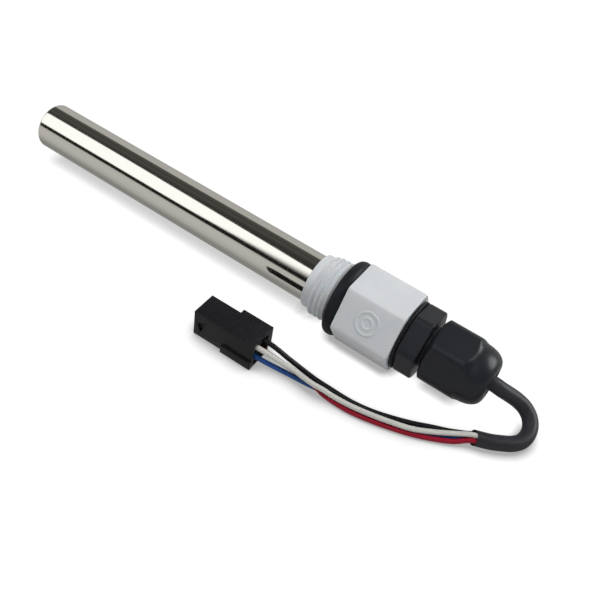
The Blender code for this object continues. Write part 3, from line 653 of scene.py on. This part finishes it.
def contact_tree(finish, shape):
    """A geometry tree that puts one contact in each cavity of a two-by-two connector."""
    tree, given = start_tree("contact_set", {"Across": CAVITY_ACROSS, "Up": CAVITY_UP}, {})
    grid = add_node(tree, "GeometryNodeMeshGrid", {
        "Size X": given["Up"], "Size Y": given["Across"], "Vertices X": 2, "Vertices Y": 2,
    })
    # The grid lies flat, so it is stood up across the connector.
    stood = add_node(tree, "GeometryNodeTransform", {
        "Geometry": grid.outputs["Mesh"], "Rotation": (0, -math.pi / 2, 0),
    })
    one = add_node(tree, "GeometryNodeObjectInfo", {"Object": shape})
    many = add_node(tree, "GeometryNodeInstanceOnPoints", {
        "Points": stood.outputs["Geometry"], "Instance": one.outputs["Geometry"],
    })
    return end_tree(tree, many.outputs["Instances"], finish)


def grown(tree, sizes):
    """The plain mesh that a geometry tree makes with these sizes."""
    holder = put("holder", bpy.data.meshes.new("holder"))
    modifier = holder.modifiers.new("tree", "NODES")
    modifier.node_group = tree
    for item in tree.interface.items_tree:
        if item.in_out == "INPUT" and item.name in sizes:
            modifier[item.identifier] = sizes[item.name]
    mesh = evaluated_mesh(holder)
    holder.modifiers.clear()
    bpy.data.objects.remove(holder)
    return mesh


class SENSOR_OT_stage(bpy.types.Operator):
    """Set the camera, the lights and the pale floor"""

    bl_idname = "sensor.stage"
    bl_label = "Stage"

    def execute(self, context):
        stage = context.scene.sensor_stage
        set_camera(stage)
        set_floor(stage)
        set_lights()
        set_surroundings()
        context.scene.view_settings.view_transform = "Standard"
        return {"FINISHED"}


def set_camera(stage):
    az, el, roll = stage.azimuth, stage.elevation, stage.roll
    back = Vector((math.sin(az) * math.cos(el), -math.cos(az) * math.cos(el), math.sin(el)))
    target = Vector((SEAL_FACE - 0.0186, 0, AXIS_HEIGHT - 0.0126))
    right = (-back).cross(Vector((0, 0, 1))).normalized()
    up = right.cross(-back)
    right, up = (
        right * math.cos(roll) + up * math.sin(roll), up * math.cos(roll) - right * math.sin(roll),
    )
    data = bpy.data.cameras.new("camera")
    data.lens = stage.focal
    data.sensor_width = 36
    data.clip_start, data.clip_end = 0.01, 20
    camera = put("camera", data)
    camera.matrix_world = Matrix.Translation(target + back * stage.distance) @ Matrix((
        (right.x, up.x, back.x, 0), (right.y, up.y, back.y, 0), (right.z, up.z, back.z, 0), (0, 0, 0, 1),
    ))
    bpy.context.scene.camera = camera


def set_floor(stage):
    """A pale floor that the camera sees as white, with a soft shadow close to the part."""
    bm = bmesh.new()
    bmesh.ops.create_grid(bm, x_segments=1, y_segments=1, size=3.0)
    mesh = plain_mesh("floor", bm)
    floor = put("floor", mesh)
    floor.visible_glossy = False
    made = bpy.data.materials.new("pale_floor")
    made.use_nodes = True
    tree = made.node_tree
    tree.nodes.clear()
    matt = add_node(tree, "ShaderNodeBsdfDiffuse", {"Color": (*stage.floor, 1)})
    # The camera sees white, darkened only where the part stands close over the floor. This shadow is
    # narrower round the plug, the gland and the cable than under the probe and the wires.
    split = add_node(tree, "ShaderNodeSeparateXYZ", {"Vector": own_places(tree)}).outputs
    width = ranged(tree, split["X"], SEAL_FACE - 0.016, SEAL_FACE - 0.008, 0.0064, 0.0036)
    reach = ranged(tree, split["Y"], -0.025, -0.019, 0.0068, width)
    open_sky = add_node(tree, "ShaderNodeAmbientOcclusion", {"Distance": reach}, samples=16).outputs["AO"]
    brightness = ranged(tree, open_sky, 0.5, 0.93, 0.40, 1.02)
    seen = add_node(tree, "ShaderNodeEmission", {"Color": (1, 1, 1, 1), "Strength": brightness})
    ray = add_node(tree, "ShaderNodeLightPath").outputs
    pick = add_node(tree, "ShaderNodeMixShader", {
        "Fac": ray["Is Camera Ray"], 1: matt.outputs["BSDF"], 2: seen.outputs["Emission"],
    })
    end = add_node(tree, "ShaderNodeOutputMaterial")
    tree.links.new(pick.outputs["Shader"], end.inputs["Surface"])
    mesh.materials.append(made)


def set_lights():
    """One soft lamp over the cable's end; reflections show the surroundings and not the lamp."""
    data = bpy.data.lights.new("overhead", "AREA")
    data.size = 0.50
    data.energy = 3.25
    lamp = put("overhead", data)
    lamp.location = (0.13, 0.08, 0.66)
    lamp.rotation_mode = "QUATERNION"
    lamp.rotation_quaternion = lamp.location.to_track_quat("Z", "Y")
    lamp.visible_glossy = False
    lamp.visible_camera = False


def set_surroundings():
    """White to the camera, an even room for light, and a softbox with dark sides in reflections."""
    world = bpy.data.worlds.new("studio")
    bpy.context.scene.world = world
    world.use_nodes = True
    tree = world.node_tree
    tree.nodes.clear()
    math_node = maths_in(tree)
    toward = add_node(tree, "ShaderNodeTexCoord").outputs["Generated"]
    split = add_node(tree, "ShaderNodeSeparateXYZ", {"Vector": toward}).outputs
    # Height of a direction in degrees, from the front horizon over the top to the back one.
    forward = math_node("MULTIPLY", split["Y"], -1.0)
    height = math_node("MULTIPLY", math_node("ARCTAN2", split["Z"], forward), math.degrees(1))
    sideways = split["X"]
    # The softbox's edges lean, because it isn't parallel to the probe.
    upper = ranged(tree, sideways, -0.6, -0.3, 86.0, 74.0)
    lower = ranged(tree, sideways, -0.5, -0.3, 27.0, 49.0)
    # Its lower edge is blurred towards the plug.
    blur = ranged(tree, sideways, -0.48, -0.33, 2.0, 19.0)
    above = math_node("SUBTRACT", height, lower)
    over_lower = eased(tree, above, math_node("MULTIPLY", blur, -1.0), blur)
    under_upper = eased(tree, math_node("SUBTRACT", upper, height), -2.0, 2.0)
    aside = ranged(tree, sideways, 0.1, 0.35, 1.0, 0.0)
    softbox = math_node("MULTIPLY", math_node("MULTIPLY", over_lower, under_upper), aside)
    # A second light stands beyond the cable end and shows on the dome and the sealing ring.
    window_at = (0.60, 0.57, 0.56)
    facing = add_node(tree, "ShaderNodeVectorMath", {0: toward, 1: window_at}, operation="DOT_PRODUCT")
    outer, inner = math.cos(math.radians(23)), math.cos(math.radians(17))
    window = eased(tree, facing.outputs["Value"], outer, inner)
    leaning = math_node("SUBTRACT", height, ranged(tree, sideways, -0.5, -0.25, 0.0, 4.0))
    turn = math_node("DIVIDE", math_node("ADD", leaning, 180.0), 360.0)
    ramp = add_node(tree, "ShaderNodeValToRGB", {"Fac": turn})
    stops = [
        (-180, "#c4c4c1"), (-110, "#9a9a98"), (-75, "#9b9c9a"), (-57, "#b6b7b5"), (-43, "#cdcecc"),
        (-27, "#d8d9d7"), (-10, "#dcdcda"), (8, "#d8d8d5"), (12, "#1a1918"), (95, "#42413f"),
        (112, "#5a5956"), (122, "#4a4946"), (135, "#5d5c59"), (141, "#4a4946"), (146, "#cfcfcb"),
        (180, "#c9c9c6"),
    ]
    elements = ramp.color_ramp.elements
    for k, (degrees, code) in enumerate(stops):
        at = (degrees + 180) / 360
        element = elements[k] if k < 2 else elements.new(at)
        element.position = at
        element.color = (*colour(code), 1)
    glow = blended(tree, softbox, ramp.outputs["Color"], (1.62, 1.65, 1.66, 1))
    glow = blended(tree, window, glow, (10.6, 11.0, 10.6, 1))
    ray = add_node(tree, "ShaderNodeLightPath").outputs
    room = blended(tree, ray["Is Glossy Ray"], (0.36, 0.36, 0.37, 1), glow)
    plain = math_node("MAXIMUM", ray["Is Camera Ray"], ray["Is Transmission Ray"])
    shown = blended(tree, plain, room, (1, 1, 1, 1))
    light = add_node(tree, "ShaderNodeBackground", {"Color": shown, "Strength": 1.0})
    end = add_node(tree, "ShaderNodeOutputWorld")
    tree.links.new(light.outputs["Background"], end.inputs["Surface"])


class SENSOR_OT_cable(bpy.types.Operator):
    """Lay the cable and its four wires"""

    bl_idname = "sensor.cable"
    bl_label = "Cable and wires"

    def execute(self, context):
        sizes = context.scene.sensor_cable
        path = smooth_curve(from_route(CABLE_ROUTE))
        sheath = vinyl("black_vinyl_sheath", sizes.sheath, 0.42, 0.10, 0.14)
        # The sheath is cut back further on its upper near side.
        slant = Vector((0, 0.32, -0.3))
        mesh = sweep("cable_sheath", path, sizes.cable / 2, 32, sizes.bore / 2, 0.0045, slant)
        jacket = link_mesh("cable_sheath", mesh, sheath, "sensor", "jacket", "cable_jacket")
        for name, route in WIRE_ROUTES.items():
            self.lay_wire(name, route, sizes, path[-1])
        return {"FINISHED"}

    def lay_wire(self, name, route, sizes, cable_end):
        across, up = WIRE_IN_CABLE[name]
        x, y, z = CABLE_INSIDE
        path = smooth_curve(from_route([(x, y + across, z + up), *route]))
        finish = vinyl(name + "_vinyl_sleeve", getattr(sizes, name), 0.40, 0.07, 0.25)
        mesh = sweep(name + "_lead", path, sizes.wire / 2, 20)
        wire = link_mesh(name + "_lead", mesh, finish, "sensor", "sleeve_" + name, "wire_" + name)


class SENSOR_OT_probe(bpy.types.Operator):
    """Build the probe tube and its prism"""

    bl_idname = "sensor.probe"
    bl_label = "Probe"

    def execute(self, context):
        sizes = context.scene.sensor_probe
        radius, tip = sizes.diameter / 2, sizes.tip_round
        inside = radius - sizes.wall
        hole = sizes.prism_diameter / 2 + 0.0002
        bend = []
        for k in range(13):
            turn = math.radians(90 + 90 * k / 12)
            bend.append((TUBE_TIP + tip + tip * math.cos(turn), radius - tip + tip * math.sin(turn)))
        outline = [
            (TUBE_REAR, inside), (TUBE_REAR, radius), *bend, (TUBE_TIP, hole + 0.0001),
            (TUBE_TIP + 0.0001, hole), (TUBE_TIP + sizes.wall, hole), (TUBE_TIP + sizes.wall, inside),
        ]
        mesh = turned("steel_tube", outline, 160, closed=True)
        link_mesh("steel_tube", mesh, polished_steel(sizes.steel), "sensor", "steel", "probe_tube")
        self.build_prism(sizes, inside)
        return {"FINISHED"}

    def build_prism(self, sizes, inside):
        neck = sizes.prism_diameter / 2
        flange = inside - 0.0003
        shoulder = PRISM_REAR - 0.0022
        outline = rounded([
            (PRISM_POINT, 0), (PRISM_POINT, 0.0004), (TUBE_TIP - 0.0001, neck), (shoulder, neck),
            (shoulder, flange), (PRISM_REAR, flange), (PRISM_REAR, 0),
        ], 0.0003, 3)
        # Clear polysulphone: glassy, of high index, with a trace of warm grey.
        made, tree, shader = start_material(
            "clear_polysulphone", sizes.prism, 0.06, IOR=1.63, Transmission_Weight=0.92,
        )
        roughened(tree, shader, noise(tree, own_places(tree), 400.0), 0.04, 0.09)
        link_mesh("prism", turned("prism", outline, 96, 30), made, "sensor", "clear", "prism_tip")


class SENSOR_OT_plug(bpy.types.Operator):
    """Build the screw plug with its thread, and the sealing ring"""

    bl_idname = "sensor.plug"
    bl_label = "Screw plug and seal"

    def execute(self, context):
        sizes = context.scene.sensor_plug
        plastic = moulded(
            "light_grey_moulded_nylon", sizes.body, 0.46, 0.35, 0.006, 0.02, Subsurface_Weight=0.15,
            Subsurface_Scale=0.001,
        )
        self.build_body(sizes, plastic)
        self.build_seal(sizes)
        return {"FINISHED"}

    def build_body(self, sizes, plastic):
        sides = 240
        root = sizes.thread_diameter / 2 - sizes.thread_depth
        collar = sizes.collar_diameter / 2
        thread_from = PLUG_FRONT + sizes.collar_length
        thread_to = -sizes.seal_width - 0.00025
        bore = 0.00835
        # The collar, from the tube out to the thread's start.
        front = rounded([
            (0.0, bore), (PLUG_FRONT, bore), (PLUG_FRONT, collar), (thread_from - 0.0001, collar),
            (thread_from, root),
        ], 0.0004)
        bm = bmesh.new()
        turn_outline(bm, front, sides)
        six = faceted(sizes.across_flats, sizes.across_flats / math.cos(math.pi / 6), 0.0, sizes.edge * 3)
        tall = sizes.across_flats * 0.58
        end_radius = sizes.across_flats / math.sqrt(3) - sizes.chamfer
        rear = [
            (thread_to, root), (-0.00005, root), (0.0, root + 0.00005), (0.0, tall),
            (HEX_LENGTH - sizes.chamfer, tall), (HEX_LENGTH, end_radius), (HEX_LENGTH, GLAND_BORE),
            (HEX_LENGTH - 0.004, GLAND_BORE),
        ]
        turn_outline(bm, divided(rounded(rear, 0.0002, 3), 0.0012), sides, six, sizes.edge)
        body = mesh_of("plug_body", bm)
        thread = grown(thread_tree(plastic), {
            "Start": SEAL_FACE + thread_from, "Length": thread_to - thread_from, "Root Radius": root,
            "Ridge Height": sizes.thread_depth, "Pitch": sizes.thread_pitch,
            "Run Out": sizes.thread_pitch * 0.45, "Axis Height": AXIS_HEIGHT, "Steps": 70, "Sides": sides,
        })
        whole = bmesh.new()
        whole.from_mesh(body)
        whole.from_mesh(thread)
        for diameter in (sizes.ring_diameter, sizes.eye_diameter):
            add_ring_mark(whole, diameter, sizes)
        mesh = mesh_of("plug_body", whole)
        link_mesh("plug_body", mesh, plastic, "sensor", "plug_grey", "screw_plug")

    def build_seal(self, sizes):
        rubber = moulded("nitrile_rubber", sizes.rubber, 0.50, 0.25, 0.004, 0.10, Specular_IOR_Level=0.12)
        inner = sizes.thread_diameter / 2 - sizes.thread_depth + 0.0001
        outer = sizes.seal_diameter / 2
        wide = (sizes.seal_width - 0.0001) / 2
        tall = (outer - inner) / 2
        section = []
        for k in range(40):
            c, s = math.cos(math.pi * k / 20), math.sin(math.pi * k / 20)
            along = -sizes.seal_width + wide + wide * math.copysign(abs(c) ** 0.85, c)
            section.append((along, inner + tall + tall * math.copysign(abs(s) ** 0.85, s)))
        mesh = turned("sealing_ring", section, 144, 60, closed=True)
        link_mesh("sealing_ring", mesh, rubber, "sensor", "rubber", "plug_seal")


def add_ring_mark(bm, diameter, sizes):
    """A low raised ring on the plug's side flat, which looks up at 30 degrees from the front."""
    lift = math.radians(150)
    out = Vector((0, math.cos(lift), math.sin(lift)))
    down = Vector((0, math.sin(lift), -math.cos(lift)))
    middle = on_axis(HEX_LENGTH / 2, sizes.across_flats / 2, lift)
    sides = 72
    half, rise = sizes.ring_line / 2, sizes.ring_rise
    foot, shoulder, top = -0.0001, rise * 0.3, half * 0.55
    section = [(-half, foot), (-half, shoulder), (-top, rise), (top, rise), (half, shoulder), (half, foot)]
    rings = []
    for k in range(sides):
        turn = 2 * math.pi * k / sides
        spoke = Vector((1, 0, 0)) * math.cos(turn) + down * math.sin(turn)
        rings.append([bm.verts.new(middle + spoke * (diameter / 2 + x) + out * z) for x, z in section])
    join_rings(bm, [*rings, rings[0]])


class SENSOR_OT_gland(bpy.types.Operator):
    """Build the cable gland: washer, base and dome nut"""

    bl_idname = "sensor.gland"
    bl_label = "Cable gland"

    def execute(self, context):
        sizes = context.scene.sensor_gland
        nylon = moulded("black_moulded_nylon", sizes.nylon, 0.30, 0.22, 0.004, 0.08, Specular_IOR_Level=0.15)
        self.build_washer(sizes)
        self.build_base(sizes, nylon)
        self.build_nut(sizes, nylon)
        return {"FINISHED"}

    def build_washer(self, sizes):
        rubber = moulded("washer_rubber", colour("#18181b"), 0.52, 0.25, 0.004, 0.10, Specular_IOR_Level=0.2)
        radius = sizes.washer_diameter / 2
        outline = rounded([
            (WASHER_FRONT, GLAND_BORE), (WASHER_FRONT, radius), (WASHER_REAR, radius),
            (WASHER_REAR, GLAND_BORE),
        ], 0.00025)
        mesh = turned("washer", outline, 144, closed=True)
        link_mesh("washer", mesh, rubber, "sensor", "rubber", "gland_washer")

    def build_base(self, sizes, nylon):
        corner = sizes.base_flats / math.sqrt(3)
        six = faceted(sizes.base_flats, 2 * (corner - 0.0002), sizes.base_turn, sizes.edge * 2)
        start = WASHER_REAR + 0.00025
        end = start + 0.0061
        over = corner + 0.0002
        # Stations: the spigot's front, the thread's two ends and the floor of the claws' hollow.
        front, thread_from, thread_to = start - 0.004, end + 0.0011, BASE_REAR - 0.0048
        floor = BASE_REAR - 0.0102
        # Radii: the spigot in the plug, the neck behind the hexagon, the thread, the claws outside and
        # inside, and the narrow bore.
        spigot, neck, thread, claws, hollow, bore = 0.0076, 0.0069, 0.0075, 0.0066, 0.0052, 0.0032
        outline = rounded([
            (front, spigot), (start, spigot), (start, corner - 0.0005), (start + 0.0007, over),
            (end - 0.0005, over), (end, corner - 0.0008), (end, neck), (thread_from, neck),
            (thread_from, thread), (thread_to, thread), (thread_to, claws), (BASE_REAR - 0.0006, claws),
            (BASE_REAR, claws - 0.0005), (BASE_REAR, hollow), (floor, hollow), (floor, bore), (front, bore),
        ], 0.0003, 3)
        mesh = turned("gland_body", divided(outline, 0.0006), 240, six=six, edge=sizes.edge)
        link_mesh("gland_body", mesh, nylon, "sensor", "nylon", "gland_base")

    def build_nut(self, sizes, nylon):
        flats = sizes.nut_flats / 2
        corner = sizes.nut_corners / 2
        six = faceted(sizes.nut_flats, sizes.nut_corners, sizes.nut_turn, sizes.edge * 2)
        bore, mouth = 0.00775, sizes.mouth / 2
        shoulder = sizes.nut_hexagon
        over = corner + 0.0004
        outside = rounded([
            (0.0, bore), (0.0, flats - 0.0008), (0.0013, over), (shoulder - 0.0010, over),
            (shoulder + 0.0007, flats - 0.0002),
        ], 0.0003)
        dome = NUT_REAR - NUT_FRONT - 0.0004
        start = shoulder + 0.0010
        lip = mouth + 0.0006
        across, rise = dome - start, flats - 0.0004 - lip
        for k in range(1, 17):
            turn = math.radians(90 * k / 16)
            outside.append((start + across * math.sin(turn), lip + rise * math.cos(turn) ** 0.73))
        # Behind the mouth the hollow widens to the thread's bore.
        throat = dome - 0.0033
        inside = rounded([
            (dome, lip), (dome - 0.0008, mouth), (throat, mouth), (throat, mouth + 0.0009),
            (dome - 0.0072, bore - 0.0005), (dome - 0.0077, bore), (0.0, bore),
        ], 0.0003)
        outline = [(NUT_FRONT + x, r) for x, r in outside + inside[1:]]
        mesh = turned("dome_nut", divided(outline, 0.0008), 240, six=six, edge=sizes.edge)
        link_mesh("dome_nut", mesh, nylon, "clamping_nut", "nylon", "gland_nut")


def in_connector(point):
    """A point by its distance along the connector from its rear face, across and up."""
    spot = Matrix.Rotation(PLUG_YAW, 3, "Z") @ Vector((point[0], point[1], 0))
    return Vector((SEAL_FACE + PLUG_REAR[0] + spot.x, PLUG_REAR[1] + spot.y, point[2]))


def prism_object(name, corners, low, high, axis):
    """A straight-sided block on a flat outline, for building up the connector."""
    bm = bmesh.new()
    bottom, top = [], []
    for a, b in corners:
        for depth, ring in ((low, bottom), (high, top)):
            spot = {"X": (depth, a, b), "Y": (a, depth, b), "Z": (a, b, depth)}[axis]
            ring.append(bm.verts.new(spot))
    bm.faces.new(bottom)
    bm.faces.new(top)
    join_rings(bm, [bottom, top])
    bmesh.ops.recalc_face_normals(bm, faces=bm.faces)
    return put(name, plain_mesh(name, bm))


def rectangle(left, right, low, high):
    return [(left, low), (right, low), (right, high), (left, high)]


class SENSOR_OT_connector(bpy.types.Operator):
    """Build the wire connector's housing and its contacts"""

    bl_idname = "sensor.connector"
    bl_label = "Connector"

    def execute(self, context):
        sizes = context.scene.sensor_connector
        self.build_housing(sizes)
        self.build_contacts(sizes)
        return {"FINISHED"}

    def build_housing(self, sizes):
        half, tall = PLUG_WIDTH / 2, PLUG_HEIGHT
        # How far a block that is joined or cut reaches past the face that it meets.
        past = 0.001
        block = prism_object("housing", rectangle(-half, half, 0, tall), -PLUG_LENGTH, 0, "X")
        near = rectangle(-half - sizes.near_rail, -half + past, 0, sizes.near_rail_height)
        far = rectangle(half - past, half + sizes.far_rail, tall - sizes.far_rail_height, tall)
        parts = [
            ("UNION", prism_object("near_rail", near, -RAIL_LENGTH, 0, "X")),
            ("UNION", prism_object("far_rail", far, -RAIL_LENGTH, 0, "X")),
        ]
        # The hollow in the rear face inside its walls, the keying mark on the near side and the cavities.
        side, bottom, top = 0.0009, 0.0010, 0.0016
        rear = rectangle(-half + side, half - side, bottom, tall - top)
        parts.append(("DIFFERENCE", prism_object("rear_hollow", rear, -sizes.recess, past, "X")))
        mark = [(-0.0210, 0.0055), (-0.0170, 0.0081), (-0.0197, 0.0021)]
        depth = 0.0009
        parts.append(("DIFFERENCE", prism_object("keying_mark", mark, -half - past, -half + depth, "Y")))
        for name, (column, level) in WIRE_IN_PLUG.items():
            y, z = column * CAVITY_ACROSS / 2, CAVITY_FLOOR + level * CAVITY_UP
            w, h = CAVITY_WIDTH / 2, CAVITY_HEIGHT / 2
            hole = rectangle(y - w, y + w, z - h, z + h)
            cavity = prism_object("cavity_" + name, hole, -PLUG_LENGTH - past, past, "X")
            parts.append(("DIFFERENCE", cavity))
        for operation, tool in parts:
            cut = block.modifiers.new(tool.name, "BOOLEAN")
            cut.operation, cut.solver, cut.object = operation, "EXACT", tool
        soften = block.modifiers.new("soften", "BEVEL")
        soften.width, soften.segments, soften.limit_method = sizes.edge, 2, "ANGLE"
        soften.angle_limit = math.radians(40)
        mesh = evaluated_mesh(block)
        for obj in (block, *(tool for _, tool in parts)):
            bpy.data.objects.remove(obj)
        for vertex in mesh.vertices:
            vertex.co = in_connector(vertex.co)
        mesh.shade_smooth()
        mesh.set_sharp_from_angle(angle=math.radians(30))
        nylon = moulded("black_connector_nylon", sizes.nylon, 0.44, 0.30, 0.004, 0.08, Specular_IOR_Level=0.2)
        link_mesh("housing", mesh, nylon, "sensor", "nylon", "connector_housing")

    def build_contacts(self, sizes):
        """One folded contact: a barrel crimped on the wire, a waist and an open box for the pin."""
        tin = hidden_finish("tinned_brass", sizes.contact, 0.30, 0.2, Metallic=1.0)
        barrel, waist, box, sheet = 0.00095, 0.0006, CAVITY_WIDTH / 2 - 0.0003, 0.0002
        bm = bmesh.new()
        stations = [
            (-0.0043, barrel), (-0.0078, barrel), (-0.0084, waist), (-0.0092, waist), (-0.0098, box),
            (-0.0178, box), (-0.0178, box - sheet), (-0.0105, box - sheet),
        ]
        # Each section is a square with its corners cut.
        cut = 0.85
        rings = []
        for x, r in stations:
            corners = []
            for y, z in ((-1, -1), (1, -1), (1, 1), (-1, 1)):
                corners += [bm.verts.new((x, y * r * a, z * r * b)) for a, b in (
                    ((cut, 1), (1, cut)) if y * z < 0 else ((1, cut), (cut, 1))
                )]
            rings.append(corners)
        join_rings(bm, rings)
        bm.faces.new(rings[0])
        bm.faces.new(rings[-1])
        one = put("contact", mesh_of("contact", bm, 30))
        made = grown(contact_tree(tin, one), {"Across": CAVITY_ACROSS, "Up": CAVITY_UP})
        bpy.data.objects.remove(one)
        middle = CAVITY_FLOOR + CAVITY_UP / 2
        for vertex in made.vertices:
            vertex.co = in_connector((vertex.co.x, vertex.co.y, vertex.co.z + middle))
        link_mesh(
            "contacts", made, tin, "sensor", "contact",
            "terminal_black", "terminal_white", "terminal_blue", "terminal_red",
        )


class SENSOR_OT_inside(bpy.types.Operator):
    """Give the pieces inside the probe and gland their finishes"""

    bl_idname = "sensor.inside"
    bl_label = "Pieces inside"

    def execute(self, context):
        finishes = {
            # Nitrile rubber: dull black.
            hidden_finish("inner_rubber", colour("#1b1b1d"), 0.6, 0.2): (
                "prism_seal", "tube_bung", "tube_seal", "seal_insert",
            ),
            # Black acetal holders: even and slightly waxy.
            hidden_finish("black_acetal", colour("#232324"), 0.45, 0.3): ("optics_holder", "board_ring"),
            # Fibreglass laminate under green lacquer.
            hidden_finish("green_laminate", colour("#1c6b35"), 0.35, 0.15): ("circuit_board",),
            # Moulded epoxy bodies: matt and slightly rough.
            hidden_finish("component_epoxy", colour("#2b2b2c"), 0.5, 0.1): (
                "comparator_chip", "output_transistor", "voltage_regulator", "protection_diode",
                "resistor_1", "resistor_2", "resistor_3", "resistor_4",
            ),
            # Sintered ceramic: pale tan and dry.
            hidden_finish("tan_ceramic", colour("#a98c63"), 0.5, 0.1): (
                "ceramic_capacitor_1", "ceramic_capacitor_2",
            ),
            # Drawn aluminium can.
            hidden_finish("aluminium_can", colour("#c3c5c8"), 0.3, 0.3, Metallic=1.0): ("filter_capacitor",),
            # Tinted clear epoxy, cast smooth.
            hidden_finish("blue_tinted_epoxy", colour("#5a78aa"), 0.1, 0.5, Transmission_Weight=0.5): (
                "infrared_emitter",
            ),
            hidden_finish("dark_epoxy", colour("#2c2730"), 0.1, 0.5, Transmission_Weight=0.3): (
                "phototransistor",
            ),
        }
        cable = context.scene.sensor_cable
        for name in WIRE_ROUTES:
            sleeve = hidden_finish(name + "_inner_sleeve", getattr(cable, name), 0.35, 0.2)
            finishes[sleeve] = ("inner_lead_" + name,)
        for finish, nodes in finishes.items():
            for node in nodes:
                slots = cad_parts[node].data.materials
                slots.clear()
                slots.append(finish)
        return {"FINISHED"}


class SENSOR_PT_panel(bpy.types.Panel):
    """The steps that build the sensor"""

    bl_idname = "SENSOR_PT_panel"
    bl_label = "Optical Level Sensor"
    bl_space_type = "VIEW_3D"
    bl_region_type = "UI"
    bl_category = "Level Sensor"

    def draw(self, context):
        for name in STEPS:
            self.layout.operator("sensor." + name)


SETTINGS = {
    "sensor_probe": SensorProbeSettings,
    "sensor_plug": SensorPlugSettings,
    "sensor_gland": SensorGlandSettings,
    "sensor_cable": SensorCableSettings,
    "sensor_connector": SensorConnectorSettings,
    "sensor_stage": SensorStageSettings,
}
STEPS = ("stage", "connector", "cable", "probe", "plug", "gland", "inside")
OPERATORS = (
    SENSOR_OT_stage, SENSOR_OT_cable, SENSOR_OT_probe, SENSOR_OT_plug, SENSOR_OT_gland, SENSOR_OT_connector,
    SENSOR_OT_inside, SENSOR_PT_panel,
)


def register():
    for made in (*SETTINGS.values(), *OPERATORS):
        bpy.utils.register_class(made)
    for name, made in SETTINGS.items():
        setattr(bpy.types.Scene, name, PointerProperty(type=made))


def unregister():
    for name in SETTINGS:
        delattr(bpy.types.Scene, name)
    for made in (*reversed(OPERATORS), *reversed(SETTINGS.values())):
        bpy.utils.unregister_class(made)


def main():
    register()
    for name in STEPS:
        getattr(bpy.ops.sensor, name)()


if __name__ == "__main__":
    main()
